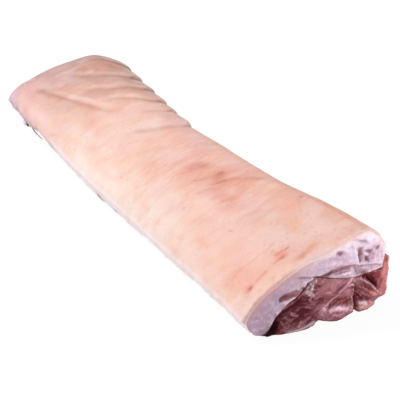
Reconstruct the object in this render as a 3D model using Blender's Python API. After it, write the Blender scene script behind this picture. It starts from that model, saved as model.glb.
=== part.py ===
"""A boneless pork loin with its rind, lying rind side up.

Two solids run through the whole piece: the fat cap, whose outer skin is the rind, and the lean under it.
+X points to the detailed cut end, +Y to the thick chine side, -Y to the thin belly side and +Z up.
The origin is on the table under the middle of the piece. Sizes are in millimetres until a mesh is made.
"""

import bpy
import numpy as np

MM = 0.001

# Driving sizes
NEAR_X = 300.0  # the detailed cut end
FAR_X = -300.0
LENGTH = NEAR_X - FAR_X
END_SKEW = -0.094  # the far cut leans this many mm along X for each mm along Y
LAYER_GAP = 0.35  # between the fat cap and the lean
CORNER_GAP = 1.0  # under the cap's chine corner, where the flap turns up beside it
NEAR_EDGE_RADIUS = 2.5
FAR_EDGE_RADIUS = 7.0
LEAN_NEAR_RADIUS = 1.2
LEAN_FAR_RADIUS = 3.0
BELLY_WALL_BULGE = 4.5  # how far the cut belly edge of the cap swells out
CHINE_WALL_BULGE = 0.8
LEAN_WALL_BULGE = 0.6

# Stations along X: where the belly edge and the chine side are, and how high the crest is
STATION_X = (-300, -230, -160, -80, 0, 80, 160, 230, 300)
BELLY_EDGE_Y = (-92, -94, -92.5, -92, -89, -84, -79.5, -76, -75)
CHINE_SIDE_Y = (73, 66, 60, 51, 45, 47, 54, 66, 73)
CREST_Z = (71.5, 72, 72.5, 73.5, 76.5, 78.2, 79, 82.8, 84.8)

# Lines of the cross-section as (y, z), from the belly side to the chine side, at each end of the piece
RIND_NEAR = ((-75, 18), (-69.5, 27), (-59, 37.6), (-48, 45), (-20.5, 60), (12.6, 69.5), (35.7, 78.3),
             (52, 81.8), (63, 75.5), (69, 65.5), (70.5, 55))
RIND_FAR = ((-91, 26), (-86, 35), (-77, 43), (-66, 48.5), (-36, 61), (-8, 68), (12, 71.5),
            (27, 69.5), (48, 60.5), (62, 50), (68, 39))
SEAM_NEAR = ((-53, 0), (-46.5, 9.9), (-38.8, 20.2), (-30.9, 26.4), (-22, 30.3), (-16, 35), (-9, 42),
             (-1, 45.5), (7, 43.7), (21.6, 39.9), (32.2, 37.2), (44, 40), (55, 41.9), (65.5, 43.2))
SEAM_FAR = ((-66, 1), (-60, 12), (-54, 20), (-46, 26.5), (-37, 32), (-28, 37), (-17, 42),
            (-5, 45.5), (8, 46.5), (21, 45), (34, 41), (45, 36), (55, 31), (63, 27))
BASE_NEAR = ((-46, 0), (-32, 0), (-16, 0), (-6, 2), (0, 4.5), (9, 2.3), (22, 0), (34, 3), (41, 3), (47, 0),
             (55, 0), (61, 6), (66, 9.5), (72, 13), (75, 21.5), (76, 37.6), (75, 51))
BASE_FAR = ((-52, 0), (-40, 0), (-26, 0), (-12, 0), (0, 0), (12, 0), (24, 0), (34, 0), (43, 0), (51, 0),
            (58, 1), (63, 3), (67, 6), (70, 11), (72, 17), (72.5, 24), (70.5, 30.5))
FLAP_LIP_NEAR = ((68.4, 47), (70.3, 52.5))  # the side of the chine flap that faces the cap
FLAP_LIP_FAR = ((66.2, 28.5), (67.6, 30.5))

# Folds of the rind: a path of (x, how far across the rind from 0 at the belly), its depth and half width
FOLDS = {
    "far end dip": (
        ((-272, 0.55), (-266, 0.72), (-272, 0.98)), 2.8, 7),
    "first crease": (
        ((-275, 0.34), (-250, 0.43), (-225, 0.53), (-203, 0.65), (-205, 0.80), (-217, 0.98)), 3.4, 6),
    "second crease": (
        ((-212, 0.33), (-185, 0.47), (-164, 0.60), (-158, 0.73), (-152, 0.98)), 3.4, 6),
    "third crease": (
        ((-155, 0.44), (-133, 0.57), (-115, 0.68), (-108, 0.80), (-108, 0.98)), 3.2, 6),
    "fourth crease": (
        ((-90, 0.52), (-78, 0.64), (-70, 0.76), (-66, 0.98)), 2.6, 6),
    "fifth crease": (
        ((-60, 0.28), (-45, 0.45), (-28, 0.60), (-13, 0.74), (-8, 0.98)), 2.8, 6),
    "sixth crease": (
        ((-5, 0.42), (29, 0.60), (40, 0.70), (45, 0.86)), 1.0, 8),
    "wide valley": (
        ((-262, 0.19), (-231, 0.22), (-200, 0.27), (-168, 0.31), (-132, 0.39), (-100, 0.48)), 4.2, 9),
}
SHOULDER_HEIGHT = 0.45  # of a fold's depth: the rolls beside a fold stand this much proud
SHOULDER_OFFSET = 2.1  # half widths from the fold's path to the top of the roll beside it
ROLL_WIDTH = 1.2  # half widths of that roll
FOLD_FADE = 0.22  # how much of its path a fold takes to die away at each end
RIND_WIDTH = 195.0  # across the rind, from belly edge to chine edge

# Relief of the detailed cut end: where on the cut as (y, z), its size, and how far it stands out along X
LEAN_LUMPS = {
    "eye muscle": ((-4, 26), (30, 15), 4.0),
    "second muscle rim": ((25, 14), (15, 10), 3.0),
    "second muscle heart": ((26, 19), (7, 5), -4.5),
    "chine lobe": ((49, 26), (10, 9), 4.5),
    "chine pocket": ((61, 32), (8, 7.5), -10.0),
    "inner pocket": ((51, 36), (9, 5), -4.0),
    "chine flap": ((72, 34), (4, 22), 3.5),
    "fat ball": ((50, 7), (10.5, 8), 5.5),
    "recess under the belly flap": ((-50, 12), (10, 12), -7.0),
    "foot of the cut": ((-10, 0), (50, 8), 7.0),
    "recess under the cap": ((-31, 24), (8, 5), -7.0),
}
LEAN_CUTS = {
    "cleft": (((37, 30), (37.5, 15), (40, 0)), 5.5, 3.6),
    "septum": (((5, 9), (20, 25), (31, 38)), 1.6, 1.8),
    "cleft above the ball": (((42, 15), (50, 17), (60, 14)), 3.5, 3.2),
}
CAP_LUMPS = {
    "crest swell": ((46, 68), (20, 14), 1.6),
    "belly swell": ((-50, 26), (16, 14), 1.2),
    "pit": ((21.5, 65.5), (3.6, 3), -3.2),
    "round pit": ((49, 57), (5, 5), -3.0),
    "upper pit": ((57, 66), (3.5, 2.2), -2.4),
}
CAP_CUTS = {
    "lean streak": (((-15, 47), (3, 48.5), (17, 51.5), (33, 50.8), (64, 45.8)), 2.6, 1.8),
    "wedge": (((37, 69), (40, 60), (42, 51)), 4.5, 2.8),
    "upper line": (((31, 76), (41, 74.5), (50, 70.5)), 1.6, 1.6),
}
RELIEF_DEPTH = 42.0  # how far along X the relief of the cut end takes to die away
LEAN_SET_BACK = -1.5  # of the lean behind the cut face of the fat

# The underside: shallow marks left by the ribs, clear of the flat patch that the piece rests on
RIB_PITCH = 38.0
RIB_DEPTH = 2.2
FLAT_PATCH_HALF = 62.0
FLAT_PATCH_FADE = 30.0
PATCH_SETTLE = 5.0  # how far the weight presses the underside down at the flat patch
TURN_HEIGHT = 12.0  # the height over which the lean's rounded end edges rise from the table

# A tag of tissue on the cut belly edge
TAG_X = -224.0
TAG_HALF = 6.0
TAG_STAND = 4.0

# Mesh density
RIND_POINTS = 31
SEAM_POINTS = 14
BASE_POINTS = 23
CAP_WALL_POINTS = 3
LEAN_WALL_POINTS = 12
NEAR_FACE_POINTS = 38
FAR_FACE_POINTS = 16
FOLD_STEP = 6.5  # between stations where the rind is folded
PLAIN_STEP = 15.0
FOLDS_END_X = 62.0
SWING = 44.0  # how far the stations swing back along X to run with the creases
SWING_X = (FAR_X + FAR_EDGE_RADIUS, -225, -20, FOLDS_END_X)  # where they start, are full, and end
SWING_ACROSS = (0, 0.3, 0.72, 1)
SWING_SHARE = (0, -1, 0, 0)
CAP_NEAR_STEPS = (0, 0.75, 2.5)  # from the cut end to the first stations
CAP_FAR_STEPS = (9, 5, 2.25, 0.55, 0)
LEAN_NEAR_STEPS = (0, 1, 3, 14, 26)
LEAN_FAR_STEPS = (3, 0)
EDGE_POWER = 6  # how closely an end face's points follow its walls near them


def catmull_rom(points, t):
    """A smooth curve through the points, at t counted in points from the first."""
    points = np.asarray(points, float)
    padded = np.vstack([2 * points[0] - points[1], points, 2 * points[-1] - points[-2]])
    i = np.clip(np.floor(t).astype(int), 0, len(points) - 2)
    f = (t - i)[:, None]
    a, b, c, d = padded[i], padded[i + 1], padded[i + 2], padded[i + 3]
    return 0.5 * (2 * b + (c - a) * f + (2 * a - 5 * b + 4 * c - d) * f**2 + (3 * b - a - 3 * c + d) * f**3)


def even_points(points, count):
    """The smooth curve through the points, as this many points evenly spaced along it."""
    fine = catmull_rom(points, np.linspace(0, len(points) - 1, 400))
    run = np.concatenate([[0], np.cumsum(np.linalg.norm(np.diff(fine, axis=0), axis=1))])
    at = np.linspace(0, run[-1], count)
    return np.stack([np.interp(at, run, fine[:, axis]) for axis in (0, 1)], axis=-1)


def smooth_table(x, at, values):
    """A table's value at each x, along a smooth curve through its rows."""
    x = np.atleast_1d(np.asarray(x, float))
    i = np.clip(np.searchsorted(at, x) - 1, 0, len(at) - 2)
    at = np.asarray(at, float)
    return catmull_rom(np.asarray(values, float)[:, None], i + (x - at[i]) / (at[i + 1] - at[i]))[:, 0]


RIND_ENDS = even_points(RIND_NEAR, RIND_POINTS), even_points(RIND_FAR, RIND_POINTS)
SEAM_ENDS = even_points(SEAM_NEAR, SEAM_POINTS), even_points(SEAM_FAR, SEAM_POINTS)
BASE_ENDS = even_points(BASE_NEAR, BASE_POINTS), even_points(BASE_FAR, BASE_POINTS)
LIP_ENDS = np.array(FLAP_LIP_NEAR, float), np.array(FLAP_LIP_FAR, float)


def blended(ends, x):
    """A line of the section at each x: the near and the far end's line, eased from one to the other."""
    s = (NEAR_X - np.asarray(x, float)) / LENGTH
    blend = (s * s * (3 - 2 * s))[..., None]
    return ends[0] * (1 - blend) + ends[1] * blend


def shape_table(pick):
    """One measure of the blended section at each station, before it is fitted to its width and height."""
    return [pick(blended(RIND_ENDS, [x]), blended(BASE_ENDS, [x])) for x in STATION_X]


SHAPE_CREST_Z = shape_table(lambda rind, base: rind[:, 1].max())
SHAPE_BELLY_Y = shape_table(lambda rind, base: rind[0, 0])
SHAPE_CHINE_Y = shape_table(lambda rind, base: base[:, 0].max())


def section_line(ends, x):
    """A line of the section at x, or at one x a point, fitted to the widths and heights there."""
    line = blended(ends, np.broadcast_to(x, len(ends[0])))
    tables = (BELLY_EDGE_Y, CHINE_SIDE_Y, CREST_Z, SHAPE_BELLY_Y, SHAPE_CHINE_Y, SHAPE_CREST_Z)
    belly, chine, crest, shape_belly, shape_chine, shape_crest = (
        smooth_table(x, STATION_X, table) for table in tables
    )
    y = belly + (line[:, 0] - shape_belly) / (shape_chine - shape_belly) * (chine - belly)
    return np.stack([y, line[:, 1] * crest / shape_crest], axis=-1)


def left_normals(line):
    """Unit normals on the left of a line's direction, which is outward for the rind."""
    run = np.gradient(line, axis=0)
    normal = np.stack([-run[:, 1], run[:, 0]], axis=-1)
    return normal / np.linalg.norm(normal, axis=1, keepdims=True)


def corner_inset(x, near_radius, far_radius):
    """How far a rounded end edge has drawn the skin in at each x."""
    inset = 0.0
    for distance, radius in ((NEAR_X - x, near_radius), (x - FAR_X, far_radius)):
        short = np.clip(radius - distance, 0, radius)
        inset = inset + radius - np.sqrt(radius**2 - short**2)
    return inset


def swing(x, across):
    """How far a station's points on the rind swing along X, so that the mesh runs with the creases."""
    reach = np.interp(x, SWING_X, (0, 1, 1, 0))
    return SWING * reach * np.interp(across, SWING_ACROSS, SWING_SHARE)


def fold_height(x, across):
    """How far the folds move the rind out at each x and share of its width."""
    height = np.zeros(len(across))
    for path, depth, half_width in FOLDS.values():
        t = np.linspace(0, len(path) - 1, 4 * len(path))
        curve = catmull_rom(path, t) * (1, RIND_WIDTH)
        distance, share = nearest_on_path(x, across * RIND_WIDTH, curve)
        reach = np.clip(np.minimum(share, 1 - share) / FOLD_FADE, 0, 1)
        reach = reach * reach * (3 - 2 * reach)
        off = distance / half_width
        roll = np.exp(-(((off - SHOULDER_OFFSET) / ROLL_WIDTH) ** 2))
        height += depth * reach * (SHOULDER_HEIGHT * roll - np.exp(-(off**2)))
    return height


def nearest_on_path(p, q, path):
    """The distance from each point (p, q) to a path of straight runs, and how far along it that is."""
    nearest = np.full(np.shape(p), np.inf)
    share = np.zeros(np.shape(p))
    for k, ((p0, q0), (p1, q1)) in enumerate(zip(path[:-1], path[1:])):
        run = np.hypot(p1 - p0, q1 - q0)
        along = np.clip(((p - p0) * (p1 - p0) + (q - q0) * (q1 - q0)) / run**2, 0, 1)
        distance = np.hypot(p - p0 - along * (p1 - p0), q - q0 - along * (q1 - q0))
        share = np.where(distance < nearest, (k + along) / (len(path) - 1), share)
        nearest = np.minimum(nearest, distance)
    return nearest, share


def cut_relief(points, lumps, cuts, set_back=0.0):
    """Moves the cut end's points along X by its lumps and clefts, less and less away from the cut."""
    x, y, z = points[:, 0], points[:, 1], points[:, 2]
    height = np.full(len(points), set_back)
    for (cy, cz), (ry, rz), stand in lumps.values():
        height += stand * np.exp(-(((y - cy) / ry) ** 2) - ((z - cz) / rz) ** 2)
    for path, depth, half_width in cuts.values():
        height -= depth * np.exp(-((nearest_on_path(y, z, path)[0] / half_width) ** 2))
    fade = np.clip(1 - (NEAR_X - x) / RELIEF_DEPTH, 0, 1)
    moved = points.copy()
    moved[:, 0] += height * fade
    return moved


def at_station(x, line):
    """A section line's points in space, with the far cut's lean."""
    s = (NEAR_X - x) / LENGTH
    along = x - END_SKEW * line[:, 0] * s**3
    return np.column_stack([np.broadcast_to(along, len(line)), line])


def wall_points(first, last, count, bulge):
    """Points between two corners of the section, swelling to the left of the way between them."""
    share = np.linspace(0, 1, count + 2)[1:-1, None]
    along = last - first
    out = np.array([-along[1], along[0]]) / np.linalg.norm(along)
    return first + share * along + bulge * np.sin(np.pi * share) * out


def cap_rows(x):
    """The cap's section at x: the rind line, the chine wall, the seam line and the belly wall."""
    across = np.linspace(0, 1, RIND_POINTS)
    rind_x = x + swing(x, across)
    rind = section_line(RIND_ENDS, rind_x)
    seam = section_line(SEAM_ENDS, x)
    out = fold_height(rind_x, across) - corner_inset(rind_x, NEAR_EDGE_RADIUS, FAR_EDGE_RADIUS)
    rind = rind + left_normals(rind) * out[:, None]
    chine_wall = wall_points(rind[-1], seam[-1], CAP_WALL_POINTS, CHINE_WALL_BULGE)
    tag = TAG_STAND * np.exp(-(((x - TAG_X) / TAG_HALF) ** 2))
    belly_wall = wall_points(seam[0], rind[0], CAP_WALL_POINTS, BELLY_WALL_BULGE + tag)
    return [at_station(rind_x, rind), *(at_station(x, row) for row in (chine_wall, seam[::-1], belly_wall))]


def rib_marks(x, base):
    """The underside with the rib marks pressed up into it, flat where it rests, never below the table."""
    away = np.clip((abs(x) - FLAT_PATCH_HALF) / FLAT_PATCH_FADE, 0, 1)
    wave = np.clip(np.cos(x / RIB_PITCH * 2 * np.pi), 0, 1)
    lift = RIB_DEPTH * wave * away - PATCH_SETTLE * (1 - away)
    return np.column_stack([base[:, 0], np.maximum(base[:, 1] + lift, 0)])


def lean_rows(x):
    """The lean's section at x: its top along the seam and the lip of the flap, its side and its base."""
    seam = section_line(SEAM_ENDS, x)
    top = (seam - left_normals(seam) * LAYER_GAP)[1:]
    top[-1] = seam[-1] - (0, CORNER_GAP)
    lip = section_line(LIP_ENDS, x)
    base = rib_marks(x, section_line(BASE_ENDS, x))
    inset = corner_inset(x, LEAN_NEAR_RADIUS, LEAN_FAR_RADIUS)
    turn = np.clip(base[:, 1] / TURN_HEIGHT, 0, 1)[:, None]
    base = base + left_normals(base) * inset * turn
    top = np.vstack([top, lip])
    lip_wall = wall_points(top[-1], base[-1], LEAN_WALL_POINTS, LEAN_WALL_BULGE)
    belly_wall = wall_points(base[0], top[0], LEAN_WALL_POINTS, LEAN_WALL_BULGE)
    return [at_station(x, row) for row in (top, lip_wall, base[::-1], belly_wall)]


def cap_stations():
    """X of each section of the cap: close together at the ends and in the folds."""
    near = NEAR_X - np.array(CAP_NEAR_STEPS)
    far = FAR_X + np.array(CAP_FAR_STEPS)
    folded = np.arange(FOLDS_END_X, far[0] + FOLD_STEP / 2, -FOLD_STEP)
    plain = np.linspace(near[-1], FOLDS_END_X, int((near[-1] - FOLDS_END_X) / PLAIN_STEP) + 1)[1:-1]
    return np.concatenate([near, plain, folded, far])


def lean_stations():
    """X of each section of the lean: close together at the ends, and on and between the rib marks."""
    near = NEAR_X - np.array(LEAN_NEAR_STEPS)
    far = FAR_X + np.array(LEAN_FAR_STEPS)
    step = RIB_PITCH / 2
    marks = step * np.arange(near[-1] // step, far[0] // step, -1)
    marks = marks[(marks < near[-1] - step / 2) & (marks > far[0] + step / 2)]
    return np.concatenate([near, marks, far])


def zipper(first, second):
    """Triangles between two rows of point numbers that may differ in length."""
    faces = []
    i = j = 0
    while i < len(first) - 1 or j < len(second) - 1:
        step_first = (i + 1) * (len(second) - 1) <= (j + 1) * (len(first) - 1)
        if j == len(second) - 1 or (i < len(first) - 1 and step_first):
            faces.append((first[i], first[i + 1], second[j]))
            i += 1
        else:
            faces.append((first[i], second[j + 1], second[j]))
            j += 1
    return faces


def end_face(points, rows, ring, inner_points, warp):
    """Adds rows of points inside an end ring, top to base, and gives the faces that fill it."""
    top, right, base, left = rows
    base, left = base[::-1], left[::-1]
    splits = np.cumsum([len(row) for row in rows[:3]])
    upper, right_ring, base_ring, left_ring = (list(part) for part in np.split(ring, splits))
    share = np.linspace(0, 1, inner_points + 2)[1:-1]
    high, low = line_at(top, share), line_at(base, share)
    by_left, by_right = ((1 - share) ** EDGE_POWER)[:, None], (share**EDGE_POWER)[:, None]
    faces = []
    for k in range(len(right)):
        down = (k + 1) / (len(right) + 1)
        start, stop = (top[end] * (1 - down) + base[end] * down for end in (0, -1))
        between = high * (1 - down) + low * down
        between = between + by_left * (left[k] - start) + by_right * (right[k] - stop)
        lower = [left_ring[-1 - k], *range(len(points), len(points) + inner_points), right_ring[k]]
        points.extend(warp(between))
        faces.extend(zipper(upper, lower))
        upper = lower
    faces.extend(zipper(upper, base_ring[::-1]))
    return faces


def line_at(line, share):
    """Points of a polyline at these shares of its count."""
    t = np.asarray(share, float) * (len(line) - 1)
    i = np.clip(np.floor(t).astype(int), 0, len(line) - 2)
    return line[i] + (line[i + 1] - line[i]) * (t - i)[:, None]


def loft(name, xs, rows_at, near_points, far_points, warp, material):
    """A closed solid through the section rows at each x, with its two ends filled."""
    points, faces, rings = [], [], []
    for x in xs:
        ring = warp(np.vstack(rows_at(x)))
        rings.append(np.arange(len(points), len(points) + len(ring)))
        points.extend(ring)
    for ring, following in zip(rings[:-1], rings[1:]):
        sides = zip(ring, np.roll(ring, -1), np.roll(following, -1), following)
        faces.extend(sides)
    near_faces = end_face(points, rows_at(xs[0]), rings[0], near_points, warp)
    faces.extend(face[::-1] for face in near_faces)
    faces.extend(end_face(points, rows_at(xs[-1]), rings[-1], far_points, warp))
    mesh = bpy.data.meshes.new(name)
    mesh.from_pydata(MM * np.array(points), [], [[int(number) for number in face] for face in faces])
    mesh.materials.append(material)
    mesh.validate()
    mesh.shade_smooth()
    return mesh


def material(name, colour, roughness):
    """A plain material of one colour."""
    made = bpy.data.materials.new(name)
    made.use_nodes = True
    shader = made.node_tree.nodes["Principled BSDF"]
    shader.inputs["Base Color"].default_value = (*colour, 1)
    shader.inputs["Roughness"].default_value = roughness
    shader.inputs["Metallic"].default_value = 0
    return made


def warp_cap(points):
    return cut_relief(points, CAP_LUMPS, CAP_CUTS)


def warp_lean(points):
    return cut_relief(points, LEAN_LUMPS, LEAN_CUTS, LEAN_SET_BACK)


def fat_cap():
    rind = material("rind and fat", (0.86, 0.62, 0.52), 0.45)
    inner = RIND_POINTS - 2
    return loft("fat_cap_with_rind", cap_stations(), cap_rows, inner, inner, warp_cap, rind)


def lean_meat():
    lean = material("lean", (0.42, 0.15, 0.15), 0.4)
    return loft("lean_meat", lean_stations(), lean_rows, NEAR_FACE_POINTS, FAR_FACE_POINTS, warp_lean, lean)


def clear_scene():
    for old in list(bpy.data.objects):
        bpy.data.objects.remove(old, do_unlink=True)


def main():
    clear_scene()
    meshes = [fat_cap(), lean_meat()]
    corners = np.array([corner for mesh in meshes for corner in bounds(mesh)])
    low, high = corners.min(axis=0), corners.max(axis=0)
    collection = bpy.data.collections.new("boneless pork loin with rind")
    bpy.context.scene.collection.children.link(collection)
    for mesh in meshes:
        piece = bpy.data.objects.new(mesh.name, mesh)
        piece.location = (-(low[0] + high[0]) / 2, -(low[1] + high[1]) / 2, -low[2])
        collection.objects.link(piece)


def bounds(mesh):
    """The least and the greatest corner of a mesh's box."""
    points = np.array([vertex.co for vertex in mesh.vertices])
    return points.min(axis=0), points.max(axis=0)


main()
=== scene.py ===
"""The looks of a boneless pork loin with its rind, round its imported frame.

Two fine pieces stand for the two solids: the fat cap with the rind, and the lean under it. Their sections
come from the solids' named sizes, a few of them refined. Small tissue pieces lie on them. Sizes are in
millimetres until a mesh is made. +X points to the detailed cut end, +Y to the chine side, -Y to the belly
side and +Z up.
"""

import bpy
import numpy as np
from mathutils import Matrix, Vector


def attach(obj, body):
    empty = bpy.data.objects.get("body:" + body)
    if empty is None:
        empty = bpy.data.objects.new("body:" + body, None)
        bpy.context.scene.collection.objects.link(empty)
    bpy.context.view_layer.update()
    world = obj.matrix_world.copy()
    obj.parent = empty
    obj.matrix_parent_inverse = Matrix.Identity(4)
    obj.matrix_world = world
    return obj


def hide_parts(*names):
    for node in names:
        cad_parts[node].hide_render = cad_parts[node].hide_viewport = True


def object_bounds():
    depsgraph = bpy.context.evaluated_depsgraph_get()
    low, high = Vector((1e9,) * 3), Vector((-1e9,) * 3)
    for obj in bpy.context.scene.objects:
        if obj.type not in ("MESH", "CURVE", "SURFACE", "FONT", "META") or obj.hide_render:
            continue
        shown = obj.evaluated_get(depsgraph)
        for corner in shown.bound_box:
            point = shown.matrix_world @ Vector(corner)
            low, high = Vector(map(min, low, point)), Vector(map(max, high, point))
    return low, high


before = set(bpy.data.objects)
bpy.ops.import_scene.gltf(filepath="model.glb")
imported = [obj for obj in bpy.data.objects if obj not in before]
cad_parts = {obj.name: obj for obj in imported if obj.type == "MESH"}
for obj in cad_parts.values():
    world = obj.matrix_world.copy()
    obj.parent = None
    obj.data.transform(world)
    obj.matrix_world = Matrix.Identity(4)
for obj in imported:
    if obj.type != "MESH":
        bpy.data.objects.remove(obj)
cad_low, cad_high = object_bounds()

MM = 0.001
MM_A_METRE = 1000
CENTRE = np.array([1.418, 10.563, 0.0])  # from the section's axes to the row frame

# ---------------------------------------------------------------- sizes, nearly all of them the solids' own
NEAR_X = 300.0
FAR_X = -300.0
LENGTH = NEAR_X - FAR_X
END_SKEW = -0.094
LAYER_GAP = 0.35
CORNER_GAP = 0.5
NEAR_EDGE_RADIUS = 2.5
FAR_EDGE_RADIUS = 7.0
LEAN_NEAR_RADIUS = 1.2
LEAN_FAR_RADIUS = 3.0
BELLY_WALL_BULGE = 4.5
CHINE_WALL_BULGE = 0.8
LEAN_WALL_BULGE = 0.6

STATION_X = (-300, -230, -160, -80, 0, 80, 160, 230, 300)
BELLY_EDGE_Y = (-92, -94, -92.5, -92, -89, -84, -79.5, -76, -75)
CHINE_SIDE_Y = (73, 66, 60, 51, 45, 47, 54, 66, 73)
CREST_Z = (71.5, 72, 72.5, 73.5, 76.5, 78.2, 79, 82.8, 84.8)

RIND_NEAR = ((-75, 18), (-69.5, 27), (-59, 37.6), (-48, 45), (-20.5, 60), (12.6, 69.5), (35.7, 78.3),
             (52, 81.8), (63, 75.5), (69, 65.5), (70.5, 55))
RIND_FAR = ((-91, 26), (-86, 35), (-77, 43), (-66, 48.5), (-36, 61), (-8, 68), (12, 71.5),
            (27, 69.5), (48, 60.5), (62, 50), (68, 39))
SEAM_NEAR = ((-53, 0), (-46.5, 9.9), (-38.8, 20.2), (-30.9, 26.4), (-22, 30.3), (-16, 35), (-9, 42),
             (-1, 45.5), (7, 43.7), (21.6, 39.9), (32.2, 37.4), (44, 37.6), (55, 38.9), (68.6, 41.4))
SEAM_FAR = ((-66, 1), (-60, 12), (-54, 20), (-46, 26.5), (-37, 32), (-28, 37), (-17, 42),
            (-5, 45.5), (8, 46.5), (21, 45), (34, 41), (45, 36), (55, 31), (63, 27))
BASE_NEAR = ((-52.8, 0), (-32, 0), (-16, 0), (-6, 2), (0, 4.5), (9, 2.3), (22, 0), (34, 3), (41, 3), (47, 0),
             (55, 0), (61, 6), (66, 9.5), (72, 13), (75, 21.5), (76, 37.6), (75, 51))
BASE_FAR = ((-61, 0), (-40, 0), (-26, 0), (-12, 0), (0, 0), (12, 0), (24, 0), (34, 0), (43, 0), (51, 0),
            (58, 1), (63, 3), (67, 6), (70, 11), (72, 17), (72.5, 24), (70.5, 30.5))
FLAP_LIP_NEAR = ((70.5, 47), (71.2, 52.5))
FLAP_LIP_FAR = ((66.2, 28.5), (67.6, 30.5))

RIND_WIDTH = 195.0
RIB_PITCH = 38.0
RIB_DEPTH = 2.2
FLAT_PATCH_HALF = 62.0
FLAT_PATCH_FADE = 30.0
PATCH_SETTLE = 5.0
TURN_HEIGHT = 12.0
RELIEF_DEPTH = 42.0
FINE_RELIEF_DEPTH = 9.0
LEAN_SET_BACK = -1.5
HOLLOW_X = -205.0  # the belly wall is hollow here, behind the loose strand
HOLLOW_HALF = 24.0
HOLLOW_DEPTH = 4.0

# ---------------------------------------------------------------- mesh density
RIND_POINTS = 156
CHINE_WALL_POINTS = 10
SEAM_POINTS = 24
BELLY_WALL_POINTS = 14
CAP_STEP = 1.65
CAP_FACE = (52, 230)  # rows and columns of the detailed cut face
CAP_FAR_FACE = (34, 150)
LEAN_TOP_POINTS = 80
LIP_WALL_POINTS = 26
LEAN_BELLY_POINTS = 3
TOP_SKIP = 2  # points of the seam that the lean leaves free at the belly side
BASE_POINTS = 110
LEAN_NEAR_STEP = 1.0
LEAN_STEP = 3.2
LEAN_FACE = (104, 300)
LEAN_FAR_FACE = (66, 180)


# ---------------------------------------------------------------- curves and sections
def catmull_rom(points, t):
    """A smooth curve through the points, at t counted in points from the first."""
    points = np.asarray(points, float)
    padded = np.vstack([2 * points[0] - points[1], points, 2 * points[-1] - points[-2]])
    i = np.clip(np.floor(t).astype(int), 0, len(points) - 2)
    f = (t - i)[:, None]
    a, b, c, d = padded[i], padded[i + 1], padded[i + 2], padded[i + 3]
    return 0.5 * (2 * b + (c - a) * f + (2 * a - 5 * b + 4 * c - d) * f**2 + (3 * b - a - 3 * c + d) * f**3)


FINE_STEPS = 800


def even_points(points, count):
    """The smooth curve through the points, as this many points evenly spaced along it."""
    fine = catmull_rom(points, np.linspace(0, len(points) - 1, FINE_STEPS))
    run = np.concatenate([[0], np.cumsum(np.linalg.norm(np.diff(fine, axis=0), axis=1))])
    at = np.linspace(0, run[-1], count)
    return np.stack([np.interp(at, run, fine[:, axis]) for axis in (0, 1)], axis=-1)


def smooth_table(x, at, values):
    """A table's value at each x, along a smooth curve through its rows."""
    x = np.atleast_1d(np.asarray(x, float))
    i = np.clip(np.searchsorted(at, x) - 1, 0, len(at) - 2)
    at = np.asarray(at, float)
    return catmull_rom(np.asarray(values, float)[:, None], i + (x - at[i]) / (at[i + 1] - at[i]))[:, 0]


RIND_ENDS = even_points(RIND_NEAR, RIND_POINTS), even_points(RIND_FAR, RIND_POINTS)
SEAM_ENDS = even_points(SEAM_NEAR, SEAM_POINTS), even_points(SEAM_FAR, SEAM_POINTS)
LEAN_SEAM_ENDS = even_points(SEAM_NEAR, LEAN_TOP_POINTS), even_points(SEAM_FAR, LEAN_TOP_POINTS)
BASE_ENDS = even_points(BASE_NEAR, BASE_POINTS), even_points(BASE_FAR, BASE_POINTS)
LIP_ENDS = np.array(FLAP_LIP_NEAR, float), np.array(FLAP_LIP_FAR, float)


def blended(ends, x):
    """A line of the section at each x: the near and the far end's line, eased from one to the other."""
    s = (NEAR_X - np.asarray(x, float)) / LENGTH
    blend = (s * s * (3 - 2 * s))[..., None]
    return ends[0] * (1 - blend) + ends[1] * blend


def shape_table(pick):
    """One measure of the blended section at each station, before it is fitted to its width and height."""
    return [pick(blended(RIND_ENDS, [x]), blended(BASE_ENDS, [x])) for x in STATION_X]


SHAPE_CREST_Z = shape_table(lambda rind, base: rind[:, 1].max())
SHAPE_BELLY_Y = shape_table(lambda rind, base: rind[0, 0])
SHAPE_CHINE_Y = shape_table(lambda rind, base: base[:, 0].max())


def section_line(ends, x):
    """A line of the section at x, fitted to the widths and heights there."""
    line = blended(ends, np.broadcast_to(x, len(ends[0])))
    tables = (BELLY_EDGE_Y, CHINE_SIDE_Y, CREST_Z, SHAPE_BELLY_Y, SHAPE_CHINE_Y, SHAPE_CREST_Z)
    belly, chine, crest, shape_belly, shape_chine, shape_crest = (
        smooth_table(x, STATION_X, table) for table in tables
    )
    y = belly + (line[:, 0] - shape_belly) / (shape_chine - shape_belly) * (chine - belly)
    return np.stack([y, line[:, 1] * crest / shape_crest], axis=-1)


def left_normals(line):
    """Unit normals on the left of a line's direction, which is outward for the rind."""
    run = np.gradient(line, axis=0)
    normal = np.stack([-run[:, 1], run[:, 0]], axis=-1)
    return normal / np.linalg.norm(normal, axis=1, keepdims=True)


def corner_inset(x, near_radius, far_radius):
    """How far a rounded end edge has drawn the skin in at x."""
    inset = 0.0
    for distance, radius in ((NEAR_X - x, near_radius), (x - FAR_X, far_radius)):
        short = np.clip(radius - distance, 0, radius)
        inset = inset + radius - np.sqrt(radius**2 - short**2)
    return inset


def at_station(x, line):
    """A section line's points in space, with the far cut's lean."""
    s = (NEAR_X - x) / LENGTH
    along = x - END_SKEW * line[:, 0] * s**3
    return np.column_stack([np.broadcast_to(along, len(line)), line])


def wall_points(first, last, count, bulge):
    """Points between two corners of the section, swelling to the left of the way between them."""
    share = np.linspace(0, 1, count + 2)[1:-1, None]
    along = last - first
    out = np.array([-along[1], along[0]]) / np.linalg.norm(along)
    return first + share * along + bulge * np.sin(np.pi * share) * out


def ease(value, start, stop):
    """0 before start, 1 after stop, smooth between. start may be the greater one."""
    t = np.clip((value - start) / (stop - start), 0, 1)
    return t * t * (3 - 2 * t)


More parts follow.
